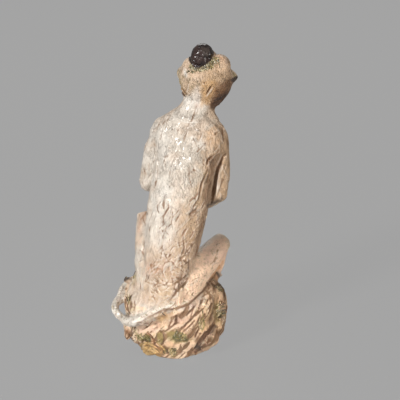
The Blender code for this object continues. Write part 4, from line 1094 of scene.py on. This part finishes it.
def glazedClay():
    # Cream glaze over buff clay: brown in the hollows, partly a wash and partly painted shade, near white
    # on the lips, with fine wandering creases and washes of the other glaze colours broken up by noise;
    # some washes and the warm side are painted shade.
    material, tree, shader = newMaterial("glazed_clay")
    hollow, lip, stone, warmth = (meshField(tree, name) for name in ("hollow", "lip", "stony", "warmth"))
    broken = noiseField(tree, grain["broken"], 4)
    # Cream: cool to white in clouds, then buff clouds, then warmer and darker where the broad forms turn
    # away, which is painted shade as well as a warmer glaze.
    clouds = noiseField(tree, grain["cream"], 3).stepped(0.38, 0.64)
    cream = blendColours(tree, clouds, glazeAndShadeColours["creamCool"], glazeAndShadeColours["creamWhite"])
    clouds = noiseField(tree, grain["buff"], 4, shift=(3, 1, 2)).stepped(0.46, 0.66) * 0.75
    cream = blendColours(tree, clouds, cream, glazeAndShadeColours["buff"])
    cream = blendColours(tree, warmth * (broken * 0.8 + 0.5), cream, glazeAndShadeColours["creamWarmAndShade"])
    # Boulder: peach to pale in clouds, then olive clouds.
    clouds = noiseField(tree, grain["stone"], 4).stepped(0.38, 0.66)
    rock = blendColours(tree, clouds, glazeAndShadeColours["stone"], glazeAndShadeColours["stonePale"])
    clouds = noiseField(tree, grain["stoneOlive"], 4, shift=(5, 2, 1)).stepped(0.58, 0.72) * 0.6
    rock = blendColours(tree, clouds, rock, glazeAndShadeColours["stoneOlive"])
    colour = blendColours(tree, stone, cream, rock)
    for tone in ("tan", "peach", "pink", "white", "ochre", "grey", "amber"):
        colour = blendColours(tree, (meshField(tree, tone) * (broken * 0.9 + 0.5)).clamped(), colour,
                              glazeAndShadeColours[tone])

    # Creases are thin lines of a warped noise, kept where a second is high; pits are a fine one's peaks.
    coarse = creaseField(tree, grain["creases"], 0.05, 1.8, upright)
    coarse = coarse * noiseField(tree, grain["creasesIn"], 2, shift=(7, 3, 1)).stepped(0.44, 0.6)
    fine = creaseField(tree, grain["fineCreases"], 0.06, 1.4, upright, (2, 9, 4))
    fine = fine * noiseField(tree, grain["fineCreasesIn"], 2, shift=(1, 8, 3)).stepped(0.45, 0.6)
    pits = noiseField(tree, grain["pits"], 1.5, shift=(4, 4, 8)).stepped(0.68, 0.76)
    pits = pits * noiseField(tree, grain["pitsIn"], 2).stepped(0.4, 0.6)
    # Lips lighter, hollows, creases and pits browner, partly as painted shade, and all of it more so on the
    # boulder.
    pale = blendColours(tree, stone, glazeAndShadeColours["lip"], glazeAndShadeColours["lipStone"])
    # The lips pale less on that side, which keeps its painted shade.
    colour = blendColours(tree, (lip.stepped(0.1, 1.1) * 0.5 * (1 - warmth * 0.5)), colour, pale)
    deep = blendColours(tree, stone, glazeAndShadeColours["deep"], glazeAndShadeColours["deepStone"])
    sunk = (hollow * (stone * 0.45 + 1)).stepped(0.5, 2.1) * 0.85
    sunk = (sunk + coarse * 0.15 + fine * 0.09 + pits * 0.25).clamped()
    colour = blendColours(tree, sunk, colour, deep)
    flecks = noiseField(tree, grain["flecks"], 2, shift=(6, 6, 2)).stepped(0.55, 0.64)
    colour = blendColours(tree, (meshField(tree, "flecked") * flecks).clamped(), colour, glazeAndShadeColours["flecked"])
    for tone in ("rust", "olive", "brown", "umber", "green", "black", "gold"):
        colour = blendColours(tree, (meshField(tree, tone) * (broken * 0.9 + 0.5)).clamped(), colour,
                              glazeAndShadeColours[tone])

    # Muzzle: near black with brown clouds under a clear gloss, and a painted reflection of warm grey-brown
    # sheen in one patch.
    dark = meshField(tree, "muzzle")
    clouds = noiseField(tree, grain["muzzle"], 2, warp=0.6).stepped(0.45, 0.65) * 0.6
    muzzle = blendColours(tree, clouds, glazeAndShadeColours["muzzle"], glazeAndShadeColours["muzzleBrown"])
    muzzle = blendColours(tree, meshField(tree, "muzzleBrown"), muzzle, glazeAndShadeColours["muzzleSheen"])
    colour = blendColours(tree, dark, colour, muzzle)

    # Relief: two sizes of upright ripples less the creases and pits; broad lumps on the muzzle instead.
    relief = noiseField(tree, grain["ripples"], 2, (1.4, 1.4, 0.5), 1.4) * 0.9
    relief = relief + noiseField(tree, grain["fineRipples"], 1.5, (1.3, 1.3, 0.6), 1.0) * 0.7
    relief = relief - coarse * 0.4 - fine * 0.25 - pits * 0.5
    lumpy = noiseField(tree, grain["muzzleLumps"], 1.5, warp=0.5) * 3.6
    relief = relief + dark * (lumpy - relief)
    bump = node(tree, "ShaderNodeBump", None, {"Strength": 1.0, "Distance": bumpHeight, "Height": relief})
    # Satin body, glossy muzzle, dull hollows and boulder; the clear coat lies in patches on the rest.
    satin = noiseField(tree, grain["satin"], 3) * 0.3 + 0.34
    dull = (sunk + stone * 0.4).clamped()
    coated = noiseField(tree, grain["coat"], 2).stepped(0.45, 0.62) * coat["weight"]
    plug(tree, shader, {"Base Color": colour, "Roughness": satin - dark * 0.2 + dull * 0.2, "Normal": bump,
                        "Coat Weight": (1 - dark) * (1 - dull) * coated,
                        "Coat Roughness": coat["roughness"]})
    return material


def thinned(mesh, hidden):
    # The same surface with fewer triangles, taken from the points that the camera doesn't see.
    holder = bpy.data.objects.new("thinning", mesh)
    bpy.context.scene.collection.objects.link(holder)
    group = holder.vertex_groups.new(name="hidden")
    group.add(np.nonzero(hidden)[0].tolist(), 1.0, "REPLACE")
    thinning = holder.modifiers.new("thinning", "DECIMATE")
    thinning.ratio = skinPlan["kept"]
    thinning.vertex_group = "hidden"
    bpy.context.view_layer.update()
    fewer = bpy.data.meshes.new_from_object(holder.evaluated_get(bpy.context.evaluated_depsgraph_get()))
    bpy.data.objects.remove(holder)
    return fewer


skinMesh = thinned(skinMesh, clay.facing < skinPlan["hidden"])
print("skin thinned to", sum(len(face.vertices) - 2 for face in skinMesh.polygons), "triangles")
skin = newPiece("clay_skin", skinMesh)
skinMesh.materials.clear()
skinMesh.materials.append(glazedClay())
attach(skin, "root")
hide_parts("meerkat_sculpture")
print("skin finished")


# Strands of clay laid on afterwards: the fringe under the muzzle, moss, leaf rims, drips and rings

finishedShape = BVHTree.FromPolygons(meshPoints(skinMesh).tolist(), meshFaces(skinMesh))


def layOn(places, steps, lift):
    # Points over the finished clay under a line on the photograph, and the clay's direction at each.
    places = np.array(places, dtype=float)
    lengths = np.hypot(*np.diff(places, axis=0).T)
    marks = np.concatenate([[0], np.cumsum(lengths)])
    stops = np.linspace(0, marks[-1], steps)
    points, outward = [], []
    for across, down in zip(np.interp(stops, marks, places[:, 0]), np.interp(stops, marks, places[:, 1])):
        hit, normal, _, _ = finishedShape.ray_cast(*sightLine(across, down))
        if hit is not None:
            points.append(hit + normal * lift)
            outward.append(normal)
    if len(points) < 3:
        return None, None
    points, outward = np.array(points), np.array(outward)
    for _ in range(2):
        points[1:-1] = (points[:-2] + 2 * points[1:-1] + points[2:]) / 4
        outward[1:-1] = (outward[:-2] + 2 * outward[1:-1] + outward[2:]) / 4
    return points, outward / np.linalg.norm(outward, axis=1)[:, None]


def strandGrid(points, outward, radii, sides, flat):
    # Tapered rod: p(s, t) = c(s) + r(s) (cos t across(s) + flat sin t outward(s)), with a pole at each end.
    along = np.gradient(points, axis=0)
    across = np.cross(along, outward)
    across /= np.linalg.norm(across, axis=1)[:, None] + 1e-12
    turn = np.arange(sides) * 2 * math.pi / sides
    ring = np.cos(turn)[None, :, None] * across[:, None, :]
    ring = ring + flat * np.sin(turn)[None, :, None] * outward[:, None, :]
    grid = points[:, None, :] + radii[:, None, None] * ring
    poles = np.stack([points[0] - along[0] * 0.4, points[-1] + along[-1] * 0.4])
    rows, columns = np.meshgrid(np.arange(len(points) - 1), np.arange(sides), indexing="ij")
    first, following = rows * sides + columns, rows * sides + (columns + 1) % sides
    quads = np.stack([first, following, following + sides, first + sides], axis=-1).reshape(-1, 4)
    rim = np.arange(sides)
    start = np.stack([np.full(sides, len(points) * sides), (rim + 1) % sides, rim], axis=1)
    last = (len(points) - 1) * sides
    end = np.stack([np.full(sides, len(points) * sides + 1), last + rim, last + (rim + 1) % sides], axis=1)
    return np.concatenate([grid.reshape(-1, 3), poles]), quads, np.concatenate([start, end])


def strandPiece(name, strands, sides=8):
    # One mesh of many strands: places, radius in millimetres, tint, flatness and lift in radii of each.
    corners, faces, shades, count = [], [], [], 0
    for places, girth, tint, flat, lift in strands:
        points, outward = layOn(places, max(6, len(places) * 3), lift * girth * mm)
        if points is None:
            continue
        taper = np.sin(np.linspace(0.12, 0.9, len(points)) * math.pi) ** 0.5
        grid, quads, fans = strandGrid(points, outward, girth * mm * taper, sides, flat)
        corners.append(np.clip(grid, low, high))
        faces += (quads + count).tolist() + (fans + count).tolist()
        shades.append(np.tile((*tints[tint], 1.0), (len(grid), 1)))
        count += len(grid)
    mesh = bpy.data.meshes.new(name)
    mesh.from_pydata(np.concatenate(corners).tolist(), [], faces)
    shell = bmesh.new()
    shell.from_mesh(mesh)
    bmesh.ops.recalc_face_normals(shell, faces=shell.faces[:])
    shell.to_mesh(mesh)
    shell.free()
    layer = mesh.attributes.new("tint", "FLOAT_COLOR", "POINT")
    layer.data.foreach_set("color", np.concatenate(shades).astype(np.float32).ravel())
    piece = newPiece(name, mesh)
    piece.data.materials.append(strandGlaze)
    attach(piece, "root")
    return piece


def glazedStrands():
    # The tint painted on each strand, mottled, with a paler thin glaze on some of it.
    material, tree, shader = newMaterial("glazed_strands")
    tint = node(tree, "ShaderNodeAttribute", {"attribute_name": "tint"})
    darker = blendColours(tree, 1.0, tint, (0.42, 0.36, 0.30), "MULTIPLY")
    colour = blendColours(tree, noiseField(tree, 420, 3).stepped(0.36, 0.62), darker, tint)
    thin = noiseField(tree, 300, 2, shift=(3, 3, 1)).stepped(0.6, 0.72) * 0.5
    colour = blendColours(tree, thin, colour, (0.62, 0.54, 0.36))
    bump = node(tree, "ShaderNodeBump", None,
                {"Strength": 0.8, "Distance": 0.8 * mm, "Height": noiseField(tree, 650, 2)})
    plug(tree, shader, {"Base Color": colour, "Roughness": noiseField(tree, 300, 2) * 0.3 + 0.25,
                        "Normal": bump,
                        "Coat Weight": 0.3, "Coat Roughness": 0.1})
    return material


strandGlaze = glazedStrands()
tints = {
    "black": (0.018, 0.016, 0.012), "moss": (0.13, 0.11, 0.032), "olive": (0.30, 0.235, 0.085),
    "sage": (0.27, 0.245, 0.165),
    "straw": (0.58, 0.50, 0.31), "cream": (0.70, 0.58, 0.44), "gold": (0.52, 0.35, 0.15),
    "rust": (0.30, 0.145, 0.065), "leaf": (0.34, 0.215, 0.085), "ear": (0.42, 0.28, 0.16),
    "brown": (0.14, 0.075, 0.04), "peach": (0.62, 0.40, 0.27),
}
strandDraw = np.random.default_rng(7)


def fringeStrands(edge, middle, count, lengths, girths, choices):
    # Short strands that start along an edge and point away from a middle, in pixels of the photograph.
    edge = np.array(edge, dtype=float)
    strands = []
    for _ in range(count):
        spot = strandDraw.uniform(0, len(edge) - 1)
        start = edge[int(spot)] * (1 - spot % 1) + edge[int(spot) + 1] * (spot % 1)
        start = start + strandDraw.uniform(-0.8, 0.8, 2)
        away = start - np.array(middle)
        turn = math.atan2(away[1], away[0]) + strandDraw.normal(0, 0.5)
        long = strandDraw.uniform(*lengths)
        bend = strandDraw.uniform(-0.5, 0.5)
        halfway = start + 0.5 * long * np.array((math.cos(turn), math.sin(turn)))
        end = halfway + 0.5 * long * np.array((math.cos(turn + bend), math.sin(turn + bend)))
        tint = choices[int(strandDraw.integers(len(choices)))]
        strands.append(((start, halfway, end), strandDraw.uniform(*girths), tint, 0.8, 0.25))
    return strands


def tuftStrands(centre, reach, count, lengths, girths, choices, lean):
    # A tuft: short strands scattered in an oval on the photograph, leaning one way, in degrees.
    strands = []
    for _ in range(count):
        turn, share = strandDraw.uniform(0, 2 * math.pi), math.sqrt(strandDraw.uniform(0, 1))
        start = np.array(centre) + np.array(reach) * share * np.array((math.cos(turn), math.sin(turn)))
        way = math.radians(lean + strandDraw.normal(0, 28))
        long = strandDraw.uniform(*lengths)
        bend = strandDraw.uniform(-0.6, 0.6)
        halfway = start + 0.5 * long * np.array((math.cos(way), -math.sin(way)))
        end = halfway + 0.5 * long * np.array((math.cos(way + bend), -math.sin(way + bend)))
        tint = choices[int(strandDraw.integers(len(choices)))]
        strands.append(((start, halfway, end), strandDraw.uniform(*girths), tint, 0.9, 0.3))
    return strands


def ringPlaces(across, down, wide, tall, count=11):
    # Places round an oval ring on the photograph.
    angles = np.linspace(0.3, 0.3 + 2 * math.pi, count)
    return [(across + wide * math.cos(angle), down + tall * math.sin(angle)) for angle in angles]


# Strands under the muzzle: the edge they start from and the middle they point away from, in pixels.
fringePlan = (
    {"edge": ((190.5, 63.5), (192.5, 67), (197, 69.3), (201, 68.3), (206, 65.5), (211, 61.5),
              (214.5, 57.5)),
     "middle": (203, 48), "count": 110, "lengths": (1.2, 3.6), "girths": (0.4, 0.65),
     "choices": ("moss", "sage", "straw", "sage", "moss", "olive", "sage")},
    {"edge": ((199, 69.5), (206, 68), (211, 65.5), (216, 61.5), (217.5, 57.5)),
     "middle": (203, 50), "count": 34, "lengths": (1.5, 4.0), "girths": (0.4, 0.6),
     "choices": ("sage", "straw", "moss", "olive")},
    {"edge": ((188, 69.5), (191, 71), (195, 71.5)),
     "middle": (200, 62), "count": 14, "lengths": (1.2, 3.0), "girths": (0.4, 0.6),
     "choices": ("moss", "moss", "olive", "sage")},
)
# Single strands: places on the photograph, radius in millimetres, tint, flatness and lift in radii.
longHairs = (
    (((218.2, 58.3), (218.7, 61.6), (220.1, 68.2)), 0.5, "moss", 0.8, 0.3),
    (((199, 69.5), (203, 70.5), (206, 69)), 0.6, "straw", 0.8, 0.3),
)
fringe = [strand for plan in fringePlan for strand in fringeStrands(**plan)]
strandPiece("muzzle_fringe", fringe + list(longHairs), 6)

# Tufts of moss and small leaves: centre, reach, how many, lengths, radii, tints, lean.
tuftPlan = (
    ((147, 338.8), (3.4, 2.6), 24, (2.2, 4.5), (0.5, 0.8), ("moss", "olive", "olive", "sage"), 155),
    ((182, 338.4), (3.0, 2.2), 18, (2.2, 4.5), (0.5, 0.8), ("moss", "moss", "olive", "olive"), 20),
    ((177.5, 336), (4.2, 2.8), 26, (2.5, 5), (0.5, 0.8), ("olive", "sage", "olive", "moss"), 30),
    ((172, 352.4), (3.6, 3.2), 26, (2.2, 4.5), (0.5, 0.9), ("moss", "olive", "olive", "straw"), 60),
    ((165.5, 352.2), (1.6, 2.2), 8, (2, 4), (0.5, 0.8), ("brown", "moss", "brown"), 80),
    ((140.6, 337.6), (2.6, 2.4), 12, (2.5, 5), (0.5, 0.8), ("olive", "moss", "straw"), 140),
    ((218.5, 312), (3.4, 8), 46, (3, 6.5), (0.45, 0.8), ("olive", "brown", "moss", "straw", "peach"), 25),
    ((219, 288), (2.5, 4), 16, (2.5, 5), (0.45, 0.75), ("olive", "brown", "straw"), 60),
    ((126, 276), (2.4, 1.8), 22, (1.8, 3.4), (0.5, 0.9), ("black", "moss", "black", "sage"), 165),
    ((133.5, 276), (1.6, 3.0), 12, (2.5, 5), (0.5, 0.8), ("olive", "straw", "brown"), 95),
    ((128.5, 301), (1.6, 4.2), 12, (2.5, 5), (0.5, 0.8), ("olive", "brown", "straw"), 85),
)
strandPiece("moss", [strand for plan in tuftPlan for strand in tuftStrands(*plan)], 6)

# Rims of leaves, drips and twigs, as the single strands above.
laidPlan = (
    (((146.9, 332.7), (150.6, 334.8), (153.9, 339.8), (154.8, 343.9), (158.9, 348.5), (161, 351)),
     1.4, "rust", 0.6, 0.1),
    (((156.8, 342.7), (160, 345.5), (163, 348), (166, 352.2)), 1.1, "gold", 0.6, 0.1),
    (((202.3, 310.2), (202.8, 314), (202.3, 317.1)), 0.7, "olive", 0.7, 0.3),
    (((138.6, 346.2), (141, 343.6), (146, 342.8), (152, 343.8), (157, 346.4), (160.6, 350.4)),
     1.0, "gold", 0.5, 0.0),
    (((139.6, 348.6), (142.4, 345.8), (147, 345), (152.4, 346.4), (156.8, 349), (159.8, 352.8)),
     1.1, "leaf", 0.5, 0.0),
    (((141.4, 350.6), (144.4, 348.2), (148.4, 347.8), (152.8, 349.4), (156.4, 351.8), (158.4, 355)),
     1.1, "gold", 0.5, 0.0),
    (((144, 352.8), (147, 350.8), (150.6, 351.4), (154, 353.6), (156, 356)), 1.1, "leaf", 0.5, 0.0),
    (((147, 355), (149.6, 353.8), (152.6, 355), (154.4, 356.8)), 1.0, "gold", 0.5, 0.0),
    (((199.8, 319), (199.2, 323), (199.8, 327), (202, 330)), 1.1, "straw", 0.35, 0.0),
    (((202.6, 318.6), (204.2, 322.4), (204, 326.4), (202.4, 330)), 1.1, "olive", 0.35, 0.0),
    (((195.4, 348.6), (195.6, 352.5), (195.4, 356.7)), 1.0, "rust", 0.9, 0.2),
    (((201.2, 347.6), (201.7, 349.2), (202, 351.5)), 0.7, "peach", 0.9, 0.2),
    (((129.5, 336), (131.8, 342.5), (133.8, 343.2), (134.9, 339.8)), 1.0, "brown", 0.9, 0.1),
    (((133.5, 333), (134.6, 337.5), (136.4, 342.6)), 0.9, "cream", 0.8, 0.3),
    (((221.8, 309.6), (224.1, 310), (226.4, 310.2)), 0.6, "black", 0.9, 0.3),
    (((206.5, 344), (204.5, 340.5), (206.5, 336.5), (210, 334), (213.5, 334.5), (213.5, 339)),
     0.9, "peach", 0.6, 0.2),
    (((221.6, 319.5), (224.7, 316), (223.2, 321.5), (221.4, 325.5)), 0.9, "cream", 0.8, 0.2),
    (((124.3, 273.8), (122.6, 276.5), (121.6, 280.8)), 0.7, "straw", 0.8, 0.3),
    (((181.6, 88.4), (184, 90.8), (186.4, 94.2)), 1.3, "ear", 0.9, 0.4),
    (((181.2, 90.6), (182.8, 93), (185.4, 95.8)), 1.1, "brown", 0.9, 0.5),
    (((162, 312.8), (163.8, 314.5), (165.4, 315.6)), 0.6, "brown", 0.8, 0.2),
    (((157.4, 339.8), (158.6, 340.4), (160, 339.2)), 0.6, "straw", 0.8, 0.3),
    (((163.3, 334.5), (164, 338.5), (162.6, 343)), 0.6, "brown", 0.7, 0.2),
)
# Small rings: across, down, half width and half height in pixels, tint.
ringPlan = (
    (205.5, 298.1, 1.7, 1.9, "cream"), (207.2, 305.6, 1.8, 1.7, "cream"), (199.4, 308.5, 1.8, 1.6, "peach"),
    (175.3, 311.3, 1.9, 1.8, "cream"), (146.9, 323.2, 2.8, 2.5, "cream"), (190, 330, 1.8, 1.6, "peach"),
)
rings = [(ringPlaces(*oval), 0.55, tint, 0.7, 0.2) for *oval, tint in ringPlan]
strandPiece("laid_leaves", list(laidPlan) + rings, 8)
print("strands laid")


# Studio

studio = {
    "grey": 0.384, "floorHalf": 8.0, "floorGlow": 0.9, "floorColour": (0.36, 0.36, 0.36),
    "sky": (1.0, 0.965, 0.92), "skyPower": 0.24, "middle": 160 * mm,
}
# Lamps: place to the right on the photograph, towards the lens and up, stretched by how far out, size in
# metres, power in watts, colour, the height aimed at in metres and the spread in degrees.
lamps = {
    "key": {"place": (-0.85, 1.1, 0.7), "out": 1.1, "size": 0.3, "power": 28.5,
            "colour": (1.0, 0.985, 0.97)},
    "fill": {"place": (1.1, 1.15, 0.02), "out": 1.2, "size": 0.6, "power": 15.0,
             "colour": (1.0, 0.96, 0.90),
             "aim": 0.08},
    "low": {"place": (0.15, 1.3, 0.3), "out": 1.15, "size": 0.2, "power": 0.082,
            "colour": (1.0, 0.97, 0.93),
            "aim": 0.02, "spread": 9},
    "front": {"place": (0, -1.4, 1.0), "out": 1.1, "size": 1.2, "power": 9, "colour": (1.0, 0.98, 0.95)},
}


def addFloor():
    # A wide plane that shows the backdrop's grey and keeps the object's shadow.
    half = studio["floorHalf"]
    mesh = bpy.data.meshes.new("floor")
    mesh.from_pydata([(-half, -half, 0), (half, -half, 0), (half, half, 0), (-half, half, 0)], [],
                     [(0, 1, 2, 3)])
    material, tree, shader = newMaterial("backdrop")
    plug(tree, shader, {"Base Color": studio["floorColour"], "Roughness": 0.9})
    glow = node(tree, "ShaderNodeEmission", None, {"Color": (studio["grey"],) * 3, "Strength": 1.0})
    plain = Field(tree, shader.outputs[0])
    mixed = node(tree, "ShaderNodeMixShader", None, {0: studio["floorGlow"], 1: plain, 2: glow})
    seenRay = node(tree, "ShaderNodeLightPath")
    shown = node(tree, "ShaderNodeMixShader", None, {0: seenRay, 1: plain, 2: mixed})
    tree.links.new(shown.socket, tree.nodes["Material Output"].inputs["Surface"])
    mesh.materials.append(material)
    floor = bpy.data.objects.new("floor", mesh)
    bpy.context.scene.collection.objects.link(floor)


def addLight(name, place, out, size, power, colour, aim=studio["middle"], spread=180):
    right, near, up = place
    flat = Vector((towardsCamera.x, towardsCamera.y, 0)).normalized()
    lamp = bpy.data.lights.new(name, "AREA")
    lamp.shape, lamp.size, lamp.energy, lamp.color = "DISK", size, power, colour
    lamp.spread = math.radians(spread)
    holder = bpy.data.objects.new(name, lamp)
    bpy.context.scene.collection.objects.link(holder)
    way = seenRight * right + flat * near + Vector((0, 0, up))
    holder.location = Vector((0, 0, studio["middle"])) + way * out
    holder.rotation_euler = (Vector((0, 0, aim)) - holder.location).to_track_quat("-Z", "Y").to_euler()


def lightUp():
    # Soft key from the photo's left, warm fill from its right, a narrow one on the boulder, one in front.
    for name, plan in lamps.items():
        addLight(name, **plan)
    world = bpy.data.worlds.new("studio")
    bpy.context.scene.world = world
    world.use_nodes = True
    tree = world.node_tree
    tree.nodes.clear()
    rays = tree.nodes.new("ShaderNodeLightPath")
    plain = node(tree, "ShaderNodeBackground", None,
                 {"Color": studio["sky"], "Strength": studio["skyPower"]})
    shown = node(tree, "ShaderNodeBackground", None, {"Color": (studio["grey"],) * 3, "Strength": 1.0})
    seenRay = Field(tree, rays.outputs["Is Camera Ray"])
    mixed = node(tree, "ShaderNodeMixShader", None, {0: seenRay, 1: plain, 2: shown})
    output = tree.nodes.new("ShaderNodeOutputWorld")
    tree.links.new(mixed.socket, output.inputs["Surface"])


addFloor()
lightUp()
bpy.context.scene.view_settings.view_transform = "Standard"
